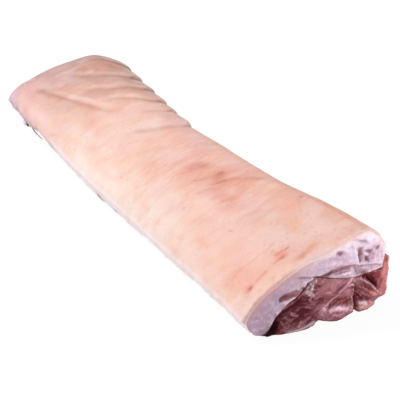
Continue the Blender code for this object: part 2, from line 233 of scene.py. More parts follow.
# ---------------------------------------------------------------- noise
LATTICE_SIDE = 32
OCTAVE_SHIFT = 5.3  # so that the octaves of rough differ
LATTICE = np.random.default_rng(11).uniform(-1, 1, (LATTICE_SIDE,) * 3)


def noise(points, sizes, place=0.0):
    """Smooth noise from -1 to 1 at points in mm, with features about these sizes along each axis."""
    p = np.asarray(points) / np.asarray(sizes, float) + place
    i = np.floor(p).astype(int)
    f = p - i
    f = f * f * (3 - 2 * f)
    value = np.zeros(len(p))
    for corner in range(8):
        bit = np.array([corner & 1, corner >> 1 & 1, corner >> 2])
        weight = np.prod(np.where(bit, f, 1 - f), axis=1)
        a, b, c = ((i + bit) % LATTICE_SIDE).T
        value += weight * LATTICE[a, b, c]
    return value


def rough(points, sizes, place=0.0, octaves=3):
    """Noise summed over octaves, each half the size and half the height of the one before."""
    total = np.zeros(len(points))
    for k in range(octaves):
        total += noise(points, np.asarray(sizes, float) / 2**k, place + OCTAVE_SHIFT * k) / 2**k
    return total


def noise_sum(points, *layers):
    """The sum of noises, each as its height, its sizes and its place."""
    return sum(height * noise(points, sizes, place) for height, sizes, place in layers)


def on_rind(x, q):
    """Points of the rind laid flat, for noise: x and mm across."""
    return np.column_stack([x, q, np.zeros(len(x))])


def on_cut(y, z):
    """Points of a cut face laid flat, for noise."""
    return np.column_stack([np.zeros(len(y)), y, z])


# ---------------------------------------------------------------- distances to paths
def nearest_on_path(p, q, path):
    """From each point (p, q) to a path of straight runs: the distance, how far along the path its nearest
    place is, and the distance to the left of the path's direction, which is negative on its right."""
    nearest = np.full(np.shape(p), np.inf)
    share = np.zeros(np.shape(p))
    left = np.zeros(np.shape(p))
    for k, ((p0, q0), (p1, q1)) in enumerate(zip(path[:-1], path[1:])):
        run = np.hypot(p1 - p0, q1 - q0)
        along = np.clip(((p - p0) * (p1 - p0) + (q - q0) * (q1 - q0)) / run**2, 0, 1)
        distance = np.hypot(p - p0 - along * (p1 - p0), q - q0 - along * (q1 - q0))
        side = ((p1 - p0) * (q - q0) - (q1 - q0) * (p - p0)) / run
        closer = distance < nearest
        share = np.where(closer, (k + along) / (len(path) - 1), share)
        left = np.where(closer, np.copysign(distance, side), left)
        nearest = np.minimum(nearest, distance)
    return nearest, share, left


RUNS_A_POINT = 4


def smooth_path(path, scale=(1, 1)):
    """A path's smooth curve as short straight runs."""
    return catmull_rom(path, np.linspace(0, len(path) - 1, RUNS_A_POINT * len(path))) * scale


def bell(distance, half_width, power=2):
    """1 at no distance and near 0 beyond the half width, with a firmer edge for a greater power."""
    return np.exp(-((np.abs(distance) / half_width) ** power))


def hill(p, q, centre, radii):
    """1 at the centre, sinking to near 0 beyond the radii."""
    return np.exp(-(((p - centre[0]) / radii[0]) ** 2) - ((q - centre[1]) / radii[1]) ** 2)


# ---------------------------------------------------------------- the rind's folds
FOLDS = {  # path of (x, share across), depth and how sharp its bottom is in mm, and how dark the painted shade in its bottom is
    "far end dip": (((-278, 0.58), (-274, 0.70), (-275, 0.84), (-283, 0.92), (-288, 0.99)), 1.7, 0.5, 0.30),
    "first crease": (
        ((-276, 0.37), (-252, 0.43), (-234, 0.50), (-216, 0.61), (-208.5, 0.69), (-210, 0.79), (-226, 0.87),
         (-236, 0.93), (-244, 0.99)), 2.1, 0.9, 0.45),
    "second crease": (
        ((-208, 0.35), (-190, 0.47), (-171, 0.58), (-164, 0.67), (-162, 0.78), (-175, 0.86), (-187, 0.93),
         (-194, 0.99)), 2.1, 0.9, 0.45),
    "third crease": (
        ((-158, 0.47), (-140, 0.57), (-123, 0.67), (-115, 0.76), (-127, 0.86), (-141, 0.93), (-148, 0.99)),
        2.0, 0.8, 0.42),
    "fourth crease": (
        ((-86, 0.56), (-78, 0.66), (-75, 0.76), (-86, 0.84), (-99, 0.91), (-104, 0.99)), 1.5, 0.5, 0.25),
    "fifth crease": (
        ((-60, 0.30), (-46, 0.44), (-28, 0.62), (-17, 0.75), (-30, 0.84), (-51, 0.90), (-58, 0.98)),
        2.0, 0.4, 0.20),
    "sixth crease": (((-5, 0.42), (29, 0.60), (40, 0.70), (45, 0.86)), 0.7, 0.2, 0.0),
    "wide valley": (
        ((-268, 0.19), (-240, 0.22), (-206, 0.275), (-174, 0.32), (-144, 0.38), (-112, 0.44)),
        2.2, 0.5, 0.40),
    "valley branch": (((-252, 0.20), (-240, 0.24), (-230, 0.29), (-224, 0.34)), 1.1, 0.4, 0.10),
    "lap by the valley": (((-205, 0.20), (-170, 0.24), (-140, 0.30)), 0.4, 0.0, 0.0),
}
ROLL_HEIGHT = 0.5
ROLL_REACH = 18.0  # mm over which a roll sinks away on the left of its fold
VALLEY_REACH = 5.0
VALLEY_POWER = 1.3
STEP_WIDTH = 1.4  # mm over which a roll drops into the valley on its right
STEP_LIMIT = 30  # keeps the step's exponent small
CHINE_GAIN = 0.6  # folds are this much deeper at the chine side
CHINE_GAIN_SPAN = (0.74, 0.90)  # shares across over which they deepen
FOLD_FADE = 0.24  # share of its length over which a fold begins and ends
CHINE_EDGE_SPAN = (0.91, 0.99)  # shares across over which folds flatten towards the chine edge
CHINE_EDGE_LOSS = 0.75
SHARP_HALF = 1.5
SWELLS = {  # centre (x, share across), radii and height
    "chine hollow": ((-8, 0.88), (34, 0.12), -1.6),
    "cheek at the cut's chine edge": ((299, 0.973), (24, 0.030), 2.6),
}


def fold_distances(x, across):
    """For each fold: its distance, how strong it is there, the distance to the left of it, and its sizes."""
    for path, depth, sharp, tint in FOLDS.values():
        line = smooth_path(path, (1, RIND_WIDTH))
        distance, share, left = nearest_on_path(x, across * RIND_WIDTH, line)
        open_end = path[-1][1] < CHINE_EDGE_SPAN[0]
        reach = ease(share, 0, FOLD_FADE) * (ease(share, 1, 1 - FOLD_FADE) if open_end else 1)
        reach = reach * (1 - CHINE_EDGE_LOSS * ease(across, *CHINE_EDGE_SPAN))
        yield distance, reach, left, depth, sharp, tint


def fold_height(x, across):
    """How far the folds move the rind out at each x and share of its width: a roll, then a step down."""
    height = np.zeros(np.shape(across))
    gain = 1 + CHINE_GAIN * ease(across, *CHINE_GAIN_SPAN)
    for distance, reach, left, depth, sharp, _ in fold_distances(x, across):
        roll = ROLL_HEIGHT * bell(np.maximum(left, 0), ROLL_REACH)
        valley = bell(distance, VALLEY_REACH, VALLEY_POWER)
        on_left = 1 / (1 + np.exp(np.clip(-left / STEP_WIDTH, -STEP_LIMIT, STEP_LIMIT)))
        step = on_left * roll - (1 - on_left) * valley
        height += reach * (gain * depth * step - sharp * bell(distance, SHARP_HALF))
    for centre, radii, stand in SWELLS.values():
        height += stand * hill(x, across, centre, radii)
    return height


RIND_WAVES = ((0.45, (44, 70, 1), 0.0), (0.16, (17, 30, 1), 3.1))  # each as noise_sum takes it
EDGE_WAVES = ((1.1, (26, 40, 1), 2.2), (0.5, (8, 40, 1), 2.9))
WRINKLE = ((3.4, 22, 1), 8.7)
WRINKLE_NEAR = 0.05
WRINKLE_MORE_FAR = 0.10
FAR_WRINKLES = (40, -160)  # x over which they grow
WAVY_EDGES = ((0.06, 0.0), (0.95, 1.0))  # shares across over which the belly edge and the chine edge begin


def rind_relief(x, across):
    """All of the rind's relief: its folds, its slow waves, its fine wrinkles and its wavy edges."""
    flat = on_rind(x, across * RIND_WIDTH)
    height = fold_height(x, across)
    height += noise_sum(flat, *RIND_WAVES)
    height += (WRINKLE_NEAR + WRINKLE_MORE_FAR * ease(x, *FAR_WRINKLES)) * noise(flat, *WRINKLE)
    height += sum(ease(across, *span) for span in WAVY_EDGES) * noise_sum(flat, *EDGE_WAVES)
    return height


# ---------------------------------------------------------------- relief of the detailed cut end
LEAN_LUMPS = {  # centre (y, z), radii, and how far it stands out along X
    "eye muscle": ((-4, 26), (30, 15), 4.0),
    "second muscle rim": ((25, 14), (15, 10), 3.0),
    "chine lobe": ((49, 26), (10, 9), 4.5),
    "recess under the belly flap": ((-46, 15), (9, 9), -6.0),
    "foot of the cut": ((-10, 0), (50, 8), 7.0),
}
LEAN_FINE_LUMPS = {
    "second muscle heart": ((20, 18), (9, 4.6), -3.4),
    "heart's deep corner": ((27, 15), (3.4, 4), -2.2),
    "upper eye": ((6, 36), (14, 7), 1.4),
    "tan swell": ((3, 42.5), (7, 3), 1.0),
    "eye side": ((-22, 12), (12, 8), 0.9),
    "membrane's swell": ((-10.5, 38), (4.5, 7.5), 1.5),
    "left fleck": ((-24.6, 15.2), (4.4, 1.6), 0.9),
    "left foot": ((-26, 4), (12, 2.6), 1.2),
    "pocket": ((56, 31), (7.0, 5.0), -9.0),
    "pocket's deep end": ((60.5, 25), (3.2, 4.6), -4.0),
    "inner pocket": ((49.5, 35.8), (5.5, 2.2), -4.5),
    "lobe's lower swell": ((54, 17), (8, 4.0), 2.0),
    "fat ball": ((48.2, 9.0), (5.8, 4.8), 5.8),
    "fat ball's right": ((57, 7.6), (3.4, 3.6), 3.6),
    "right foot": ((33, 8), (3.4, 3.6), 1.6),
    "foot": ((16, 6), (13, 3.4), 1.6),
}
LEAN_CUTS = {  # path of (y, z), depth, half width
    "cleft": (((38, 29), (38.4, 20), (38.8, 12), (39.6, 6), (40.6, 0)), 6.5, 2.0),
    "above the ball": (((39, 15.4), (45, 15.2), (51, 14.4), (58, 13)), 3.0, 1.3),
    "under the ball": (((41, 1.6), (48, 0), (56, 1.4)), 3.0, 1.6),
    "second muscle's upper edge": (((8, 12.6), (13, 19), (20, 24.4), (27, 28.4)), 1.2, 1.0),
    "membrane notch": (((-6.2, 40), (-6, 33)), 1.4, 1.1),
    "dark spot": (((-1.6, 39.8), (1, 39.2)), 1.2, 1.1),
    "dark corner": (((-5.4, 44), (-5, 40)), 1.3, 1.2),
    "fibre 1": (((-31, 8), (-18, 13), (-3, 15)), 0.6, 0.8),
    "fibre 2": (((-27, 18), (-12, 22), (2, 21)), 0.6, 0.8),
    "fibre 3": (((-20, 3), (-8, 8), (4, 17), (14, 27)), 0.7, 0.8),
    "lobe fibre 1": (((40, 27.6), (46, 23), (53, 18)), 0.8, 0.8),
    "lobe fibre 2": (((40, 33.6), (47, 29.6), (55, 23.4)), 0.7, 0.8),
    "lobe fibre 3": (((42, 21), (48, 17.4), (54, 14.5)), 0.6, 0.8),
    "flap's fold": (((67.6, 31), (66, 24), (63.6, 18)), 1.6, 1.1),
}
LEAN_RIDGES = {  # path of (y, z), height, half width
    "septum": (((34, 36), (27, 30.8), (21, 26.6), (15, 23.2), (10, 19.4), (6, 14)), 0.9, 1.5),
    "second muscle's lower rim": (((7, 10), (13, 12.4), (21, 13), (27, 11.4), (31, 8.6)), 1.2, 2.2),
    "post": (((36.2, 30), (36.6, 22), (36.4, 10)), 1.4, 1.1),
    "pocket ridge": (((43.6, 36), (50, 31.4), (56, 26.6), (61, 21.2), (64, 16)), 2.6, 1.4),
    "chine flap": (((69, 54), (73, 50), (74.5, 37.6), (73.4, 24), (70, 15.5), (63, 13)), 3.8, 3.4),
    "membrane": (((-5.4, 45), (-8.2, 41), (-10.4, 37), (-12.6, 33)), 1.2, 2.0),
    "eye's arc": (((5, 31), (9, 30.6), (13, 28)), 0.6, 0.9),
}
CAP_LUMPS = {
    "crest swell": ((46, 68), (20, 14), 1.6),
    "belly swell": ((-50, 26), (16, 14), 1.2),
}
CAP_FINE_LUMPS = {
    "pit": ((20.8, 66), (3.4, 2.0), -2.6),
    "low pit": ((47.8, 56.2), (2.0, 2.2), -2.8),
    "corner pit": ((59.0, 65), (1.6, 1.5), -1.8),
    "upper layer's left end": ((-14, 57), (12, 5), 1.0),
    "light lens": ((25, 45.0), (8, 2.2), 1.4),
    "lens' right": ((33, 44.6), (4, 2), 0.9),
    "knot": ((46, 41), (2.2, 2.4), -1.8),
    "right band": ((56, 43.4), (8, 2.2), 1.1),
    "crest corner": ((56, 76), (9, 6), 1.4),
    "right cheek": ((61, 57), (6, 7), 1.2),
    "right block": ((54, 58), (5, 6), 0.8),
}
CAP_CUTS = {
    "lean streak": (((6, 46.6), (12, 49.2), (24, 50.9), (36, 50), (50, 48), (66, 45)), 1.6, 1.5),
    "ledge": (((-22, 51.2), (-12, 49), (-5, 47.8), (4, 46.6)), 1.7, 1.1),
    "wedge": (((40.0, 66.6), (41.2, 60), (41.8, 52.6)), 3.0, 2.3),
    "upper pit": (((46, 63.4), (51.4, 63.4)), 1.7, 1.2),
    "upper line": (((29, 77), (36, 76.2), (44, 73.8), (50, 70.8)), 1.2, 1.0),
    "false lean": (((-38, 34.2), (-30, 35.3), (-20, 36.5)), 1.0, 2.6),
    "speck 1": (((-17.6, 39.6), (-14.6, 38.8)), 1.4, 1.2),
    "speck 2": (((-11.4, 42.6), (-9.2, 41)), 1.2, 1.0),
    "grey drip": (((-44.6, 22), (-43.6, 17), (-44.6, 12)), 1.0, 1.3),
}
CAP_RIDGES = {
    "ridge by the wedge": (((32.6, 70), (35.4, 65.6), (37.8, 59), (39.8, 52.5)), 1.8, 1.4),
    "soft band": (((-18, 58), (4, 58.6), (15, 58), (28, 56.6)), 0.7, 1.6),
    "block by the drop": (((50.4, 61), (50, 58)), 0.8, 1.4),
}

# The far cut, which the photograph hides
FAR_LEAN_LUMPS = {
    "eye muscle": ((-2, 22), (34, 19), 2.0),
    "chine muscle": ((55, 14), (11, 11), 1.4),
    "flank strip": ((-50, 6), (9, 7), 1.0),
}
FAR_LEAN_CUTS = {
    "chine septum": (((34, 41), (39, 32), (42, 20), (40, 9), (43, 0)), 1.8, 1.8),
    "flank septum": (((-41, 27), (-39, 18), (-43, 9), (-41, 0)), 1.4, 1.8),
}
FAR_FAT_CUTS = {
    "thin lean": (((-74, 16), (-60, 30), (-42, 42), (-20, 52), (4, 57), (28, 55)), 0.8, 1.6),
}


CUT_WANDER = 0.55
# Layers of noise, as noise_sum takes them
WANDERS = ((1, (1, 6, 5), 71.0), (0.8, (1, 2.6, 2.2), 81.0), (0.75, (1, 1.1, 1.0), 91.0))
WANDER_UP = 4.0  # the place of the upward wander after that of the sideways one
CUT_END_HEIGHT = 0.35  # a groove or ridge keeps this share of its height at its ends
CUT_END_SHARE = 0.2


def wandering(y, z):
    """Places on the cut moved a little by noise, so that its marks and relief are irregular."""
    flat = on_cut(y, z)
    across, up = (
        noise_sum(flat, *((height, sizes, place + later) for height, sizes, place in WANDERS))
        for later in (0, WANDER_UP)
    )
    return y + CUT_WANDER * across, z + CUT_WANDER * up


def cut_height(y, z, lumps, cuts=None, ridges=None):
    """How far the tables' lumps, grooves and ridges stand out of a cut at each place on it."""
    y, z = wandering(y, z)
    height = np.zeros(len(y))
    for centre, radii, stand in lumps.values():
        height += stand * hill(y, z, centre, radii)
    for sign, paths in ((-1, cuts), (1, ridges)):
        for path, depth, half_width in (paths or {}).values():
            distance, share, _ = nearest_on_path(y, z, smooth_path(path))
            ends = ease(np.minimum(share, 1 - share), 0, CUT_END_SHARE)
            ends = CUT_END_HEIGHT + (1 - CUT_END_HEIGHT) * ends
            height += sign * depth * ends * bell(distance, half_width)
    return height


CAP_WAVES = ((0.45, (1, 7, 5), 1.3), (0.2, (1, 2.6, 2.2), 6.1))  # as noise_sum takes them
LEAN_WAVES = ((0.5, (1, 8, 6), 4.3), (0.22, (1, 2.4, 2.0), 2.9))
GRAIN_HEIGHT = 0.22
FAR_CAP_SINK = 0.9
FAR_LEAN_SINK = 2.2


def warp_cap(points):
    """Moves the cap's points along X by the relief of the cut faces, less and less away from each."""
    y, z = points[:, 1], points[:, 2]
    flat = on_cut(y, z)
    broad = cut_height(y, z, CAP_LUMPS)
    fine = cut_height(y, z, CAP_FINE_LUMPS, CAP_CUTS, CAP_RIDGES) + noise_sum(flat, *CAP_WAVES)
    far_dent = FAR_CAP_SINK - cut_height(y, z, {}, FAR_FAT_CUTS) + 0.5 * rough(flat, (1, 12, 8), 5.9)
    return shift_x(points, broad, fine, far_dent)


def warp_lean(points):
    """Moves the lean's points along X by the relief of the cut faces, with a fine grain along its fibres."""
    y, z = points[:, 1], points[:, 2]
    flat = on_cut(y, z)
    broad = LEAN_SET_BACK + cut_height(y, z, LEAN_LUMPS)
    fine = cut_height(y, z, LEAN_FINE_LUMPS, LEAN_CUTS, LEAN_RIDGES) + noise_sum(flat, *LEAN_WAVES)
    fine += GRAIN_HEIGHT * noise(on_cut(y + 2.0 * z, z - 0.45 * y), (1, 16, 1.5), 7.7)
    relief = cut_height(y, z, FAR_LEAN_LUMPS, FAR_LEAN_CUTS)
    return shift_x(points, broad, fine, FAR_LEAN_SINK - relief + 0.4 * rough(flat, (1, 9, 7), 8.3))


def shift_x(points, broad, fine, far_dent):
    """Moves points along X: out by the detailed cut's relief, and in by the far cut's dents."""
    behind = NEAR_X - points[:, 0]
    ahead = points[:, 0] - FAR_X + END_SKEW * points[:, 1]
    moved = points.copy()
    share = np.clip(1 - behind / RELIEF_DEPTH, 0, 1)
    moved[:, 0] += broad * share + fine * ease(behind, FINE_RELIEF_DEPTH, 0)
    moved[:, 0] += np.maximum(far_dent, 0) * ease(ahead, FINE_RELIEF_DEPTH, 0)
    return moved


# ---------------------------------------------------------------- section rows
CHEEK_SHARP = 0.7  # share of the cut's rounding that the cheek lacks
CHEEK_SPAN = (0.91, 0.95)  # shares across over which the cheek begins
CHINE_WALL_WAVE = 1.2
BELLY_WALL_WAVE = 1.7
WALL_BEND_POWER = 0.7
TABLE_CLEARANCE = 0.05
MEMBRANE_Y = -10.0  # the two layers close up here at the cut
MEMBRANE_HALF = 7.0
MEMBRANE_CLOSES = 0.8
MEMBRANE_LENGTH = 8.0
LIP_WAVE = np.array([0.9, 0.5])  # mm the flap's lip wanders sideways and up
LIP_WAVE_SPAN = (12.0, 40.0)  # mm behind the cut over which it begins to
SIDE_FOOT = (1.0, 9.0)  # heights over which the lean's side begins to be uneven
SIDE_TOP = (52.0, 46.0)  # heights over which it is even again
SIDE_WAVE = 1.1
SIDE_OUT = 0.3
UNDERSIDE = (4.0, 0.0)  # heights over which the lean's surface begins to count as its underside
UNDERSIDE_WAVE = 0.9
UNDERSIDE_FADE = 25.0
RIBS_BEGIN = (2.0, 16.0)  # mm behind the cut


def cap_rows(x):
    """The cap's section at x: the rind, the chine wall, the seam and the belly wall."""
    across = np.linspace(0, 1, RIND_POINTS)
    rind = section_line(RIND_ENDS, x)
    seam = section_line(SEAM_ENDS, x)
    inset = corner_inset(x, NEAR_EDGE_RADIUS, FAR_EDGE_RADIUS)
    inset = inset * (1 - CHEEK_SHARP * ease(x, 0, NEAR_X / 2) * ease(across, *CHEEK_SPAN))
    out = rind_relief(np.full(RIND_POINTS, x), across) - inset
    rind = rind + left_normals(rind) * out[:, None]
    chine_wall = wall_points(rind[-1], seam[-1], CHINE_WALL_POINTS, CHINE_WALL_BULGE)
    hollow = HOLLOW_DEPTH * bell(x - HOLLOW_X, HOLLOW_HALF)
    belly_wall = wall_points(seam[0], rind[0], BELLY_WALL_POINTS, BELLY_WALL_BULGE - hollow)
    rows = [at_station(x, row) for row in (rind, chine_wall, seam[::-1], belly_wall)]
    for wall, size in ((rows[1], CHINE_WALL_WAVE), (rows[3], BELLY_WALL_WAVE)):
        bend = np.sin(np.pi * np.linspace(0, 1, len(wall) + 2)[1:-1]) ** WALL_BEND_POWER
        uneven = 0.7 * rough(wall, (26, 8, 8), 5.5) + 0.35 * noise(wall, (7, 3, 3), 9.1)
        wall[:, 1] += size * bend * uneven
        wall[:, 2] = np.maximum(wall[:, 2], TABLE_CLEARANCE)
    return rows


def rib_marks(x, base):
    """The underside with the rib marks pressed up into it, flat where it rests, never below the table."""
    away = np.clip((abs(x) - FLAT_PATCH_HALF) / FLAT_PATCH_FADE, 0, 1)
    begin, full = RIBS_BEGIN
    wave = np.clip(np.cos(x / RIB_PITCH * 2 * np.pi), 0, 1) * ease(x, NEAR_X - begin, NEAR_X - full)
    lift = RIB_DEPTH * wave * away - PATCH_SETTLE * (1 - away)
    return np.column_stack([base[:, 0], np.maximum(base[:, 1] + lift, 0)])


def lean_rows(x):
    """The lean's section at x: its top along the seam and the lip of the flap, its side and its base."""
    seam = section_line(LEAN_SEAM_ENDS, x)
    closed = MEMBRANE_CLOSES * ease(x, NEAR_X - MEMBRANE_LENGTH, NEAR_X)
    gap = LAYER_GAP * (1 - closed * bell(seam[:, :1] - MEMBRANE_Y, MEMBRANE_HALF))
    top = (seam - left_normals(seam) * gap)[TOP_SKIP:]
    top[-1] = seam[-1] - (0, CORNER_GAP)
    lip = section_line(LIP_ENDS, x)
    place = np.array([[x, 0.0, 0.0]])
    begin, full = LIP_WAVE_SPAN
    wave = rough(place, (30, 1, 1), 3.7) + rough(place, (9, 1, 1), 6.1, 2)
    lip[-1] += ease(x, NEAR_X - begin, NEAR_X - full) * LIP_WAVE * wave
    base = rib_marks(x, section_line(BASE_ENDS, x))
    inset = corner_inset(x, LEAN_NEAR_RADIUS, LEAN_FAR_RADIUS)
    turn = np.clip(base[:, 1] / TURN_HEIGHT, 0, 1)[:, None]
    base = base + left_normals(base) * inset * turn
    top = np.vstack([top, lip])
    lip_wall = wall_points(top[-1], base[-1], LIP_WALL_POINTS, LEAN_WALL_BULGE)
    belly_wall = wall_points(base[0], top[0], LEAN_BELLY_POINTS, 0.0)
    rows = [at_station(x, row) for row in (top, lip_wall, base[::-1], belly_wall)]
    side = rows[2]
    height = ease(side[:, 2], *SIDE_FOOT) * ease(side[:, 2], *SIDE_TOP)
    side[:, 1] -= SIDE_WAVE * height * (0.5 + 0.5 * rough(side, (26, 9, 8), 3.3)) - SIDE_OUT
    lift = ease(side[:, 2], *UNDERSIDE) * ease(np.abs(x), FLAT_PATCH_HALF, FLAT_PATCH_HALF + UNDERSIDE_FADE)
    side[:, 2] += lift * (UNDERSIDE_WAVE * np.clip(rough(side, (18, 9, 1), 7.1), 0, 2))
    return rows


CAP_NEAR_STATIONS = (0, 0.12, 0.4, 0.85, 1.6, 2.5)  # mm from the end, close together where its edge is round
CAP_FAR_STATIONS = (7, 5.2, 3.7, 2.4, 1.4, 0.65, 0.2, 0)
LEAN_NEAR_STATIONS = (0, 0.2, 0.6, 1.2)
LEAN_EVEN_STATIONS = (2.2, 46)  # mm from the detailed end where its stations are LEAN_NEAR_STEP apart
LEAN_FAR_STATIONS = (3, 1.6, 0.7, 0.2, 0)


def stations(near, far, step):
    """The x of each section: those near both ends, and even steps between."""
    near, far = NEAR_X - np.array(near), FAR_X + np.array(far)
    count = int((near[-1] - far[0]) / step)
    return np.concatenate([near, np.linspace(near[-1], far[0], count + 1)[1:-1], far])


def cap_stations():
    """The x of the cap's sections."""
    return stations(CAP_NEAR_STATIONS, CAP_FAR_STATIONS, CAP_STEP)


def lean_stations():
    """The x of the lean's sections, which are close behind the detailed cut."""
    even = np.arange(*LEAN_EVEN_STATIONS, LEAN_NEAR_STEP)
    return stations(np.concatenate([LEAN_NEAR_STATIONS, even]), LEAN_FAR_STATIONS, LEAN_STEP)


# ---------------------------------------------------------------- meshes
def zipper(first, second):
    """Triangles between two rows of point numbers that may differ in length."""
    faces = []
    i = j = 0
    while i < len(first) - 1 or j < len(second) - 1:
        step_first = (i + 1) * (len(second) - 1) <= (j + 1) * (len(first) - 1)
        if j == len(second) - 1 or (i < len(first) - 1 and step_first):
            faces.append((first[i], first[i + 1], second[j]))
            i += 1
        else:
            faces.append((first[i], second[j + 1], second[j]))
            j += 1
    return faces


def line_at(line, share):
    """Points of a polyline at these shares of its count."""
    t = np.asarray(share, float) * (len(line) - 1)
    i = np.clip(np.floor(t).astype(int), 0, len(line) - 2)
    return line[i] + (line[i + 1] - line[i]) * (t - i)[:, None]


EDGE_POWER = 6  # a greater power keeps the bulges of a face's sides nearer to those sides
NEAR_FACE = 4
FAR_FACE = 5


def end_patch(rows, size):
    """A grid of points inside an end ring, size rows by columns, that follows the ring's sides near them."""
    top, right, base, left = rows
    base, left = base[::-1], left[::-1]
    right_side = np.vstack([top[-1:], right, base[-1:]])
    left_side = np.vstack([top[:1], left, base[:1]])
    down_count, across_count = size
    across = np.linspace(0, 1, across_count + 2)[1:-1]
    down = np.linspace(0, 1, down_count + 2)[1:-1]
    high, low = line_at(top, across), line_at(base, across)
    near_left, near_right = line_at(left_side, down), line_at(right_side, down)
    grid = high[None] * (1 - down[:, None, None]) + low[None] * down[:, None, None]
    start = top[0] * (1 - down[:, None]) + base[0] * down[:, None]
    stop = top[-1] * (1 - down[:, None]) + base[-1] * down[:, None]
    by_left = ((1 - across) ** EDGE_POWER)[None, :, None]
    by_right = (across**EDGE_POWER)[None, :, None]
    return grid + by_left * (near_left - start)[:, None] + by_right * (near_right - stop)[:, None]


def fill_end(first_number, ring, rows, grid):
    """The faces between an end ring and the grid inside it, and the grid's own."""
    numbers = first_number + np.arange(grid.shape[0] * grid.shape[1]).reshape(grid.shape[:2])
    counts = [len(row) for row in rows]
    starts = np.concatenate([[0], np.cumsum(counts)])
    top, right, base, left = (ring[a:b] for a, b in zip(starts[:-1], starts[1:]))
    faces = zipper(list(top), list(numbers[0]))
    faces += zipper([top[-1], *right, base[0]], list(numbers[:, -1]))
    faces += zipper(list(base), list(numbers[-1, ::-1]))
    faces += zipper([base[-1], *left, top[0]], list(numbers[::-1, 0]))
    a, b = numbers[:-1, :-1], numbers[:-1, 1:]
    c, d = numbers[1:, 1:], numbers[1:, :-1]
    faces += np.stack([a, b, c, d], axis=-1).reshape(-1, 4).tolist()
    return faces


def loft(xs, rows_at, near_size, far_size, warp):
    """A closed skin through the section rows at each x, its ends filled, and which part each point is of.

    The parts are the section's four rows as 0 to 3, and the two faces as NEAR_FACE and FAR_FACE.
    """
    sections = [rows_at(x) for x in xs]
    ring_points = np.array([np.vstack(rows) for rows in sections])
    count, around = ring_points.shape[:2]
    near_grid, far_grid = end_patch(sections[0], near_size), end_patch(sections[-1], far_size)
    points = np.vstack([ring_points.reshape(-1, 3), near_grid.reshape(-1, 3), far_grid.reshape(-1, 3)])
    numbers = np.arange(count * around).reshape(count, around)
    following = np.roll(numbers, -1, axis=1)
    sides = np.stack([numbers[:-1], following[:-1], following[1:], numbers[1:]], axis=-1).reshape(-1, 4)
    near_first = count * around
    far_first = near_first + near_grid.shape[0] * near_grid.shape[1]
    near_faces = fill_end(near_first, numbers[0], sections[0], near_grid)
    far_faces = fill_end(far_first, numbers[-1], sections[-1], far_grid)
    faces = sides.tolist() + [face[::-1] for face in near_faces] + far_faces
    row_parts = np.repeat(np.arange(4), [len(row) for row in sections[0]])
    row_shares = np.concatenate([np.linspace(0, 1, len(row)) for row in sections[0]])

    def for_each_point(on_rings, on_near, on_far):
        """One value for every point: given for the rings, and the same all over each face."""
        near_count, far_count = far_first - near_first, len(points) - far_first
        return np.concatenate([on_rings, np.full(near_count, on_near), np.full(far_count, on_far)])

    return {
        "points": warp(points),
        "flat": points,
        "faces": faces,
        "part": for_each_point(np.tile(row_parts, count), NEAR_FACE, FAR_FACE),
        "share": for_each_point(np.tile(row_shares, count), 0, 0),
        "x": for_each_point(np.repeat(xs, around), NEAR_X, FAR_X),
    }


def linear(colour):
    """A colour of 0 to 255 as the eye reads it, in linear light, by the sRGB formula."""
    value = np.asarray(colour, float) / 255
    return np.where(value <= 0.04045, value / 12.92, ((value + 0.055) / 1.055) ** 2.4)


def make_piece(name, shape, material, replaced=None):
    """The mesh of a shape with its painted tone, in the row frame, riding on the root."""
    mesh = bpy.data.meshes.new(name)
    low, high = MM_A_METRE * np.array(cad_low), MM_A_METRE * np.array(cad_high)
    inside = np.clip(shape["points"] + CENTRE, low, high)
    mesh.from_pydata(MM * inside, [], shape["faces"])
    mesh.materials.append(material)
    tone = mesh.color_attributes.new(name="tone", type="FLOAT_COLOR", domain="POINT")
    rgba = np.column_stack([np.clip(shape["tone"], 0, 1), np.ones(len(inside))])
    tone.data.foreach_set("color", rgba.astype(np.float32).ravel())
    for label in ("wet", "fatty"):
        if label in shape:
            layer = mesh.attributes.new(name=label, type="FLOAT", domain="POINT")
            layer.data.foreach_set("value", np.asarray(shape[label], np.float32))
    mesh.shade_smooth()
    mesh.validate()
    piece = bpy.data.objects.new(name, mesh)
    bpy.context.scene.collection.objects.link(piece)
    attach(piece, "root")
    if replaced:
        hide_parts(replaced)


# ---------------------------------------------------------------- painting
def plain(colour, count):
    """The same tone at this many points."""
    return np.broadcast_to(linear(colour), (count, 3)).copy()


def mixed(tone, colour, weight):
    """The tones drawn towards a colour by a weight from 0 to 1 at each point."""
    weight = np.clip(weight, 0, 1)[:, None]
    return tone * (1 - weight) + linear(colour) * weight


def layered(tone, *layers):
    """The tones under layers that are laid on in turn, each a colour and its weight."""
    for colour, weight in layers:
        tone = mixed(tone, colour, weight)
    return tone


def two_way(tone, value, above, below):
    """The tones drawn to one (colour, share) where a value is above 0, and to another below it."""
    for (colour, share), amount in ((above, value), (below, -value)):
        tone = mixed(tone, colour, share * np.clip(amount, 0, 1))
    return tone


FADE_FROM = -0.001  # share of a stroke's length, just off it so that its ends aren't quite bare


def stroke(p, q, path, half_width, fade=0.15, power=2):
    """The weight of a stroke along a path, which dies away at its ends."""
    distance, share, _ = nearest_on_path(p, q, smooth_path(path) if len(path) > 2 else path)
    ends = ease(np.minimum(share, 1 - share), FADE_FROM, fade) if fade else 1
    return bell(distance, half_width, power) * ends


def dab(p, q, centre, radii, turn=0.0, power=2):
    """The weight of a round or oval patch, turned by an angle in degrees."""
    a = np.radians(turn)
    u = (p - centre[0]) * np.cos(a) + (q - centre[1]) * np.sin(a)
    v = (q - centre[1]) * np.cos(a) - (p - centre[0]) * np.sin(a)
    return np.exp(-((np.hypot(u / radii[0], v / radii[1])) ** power))


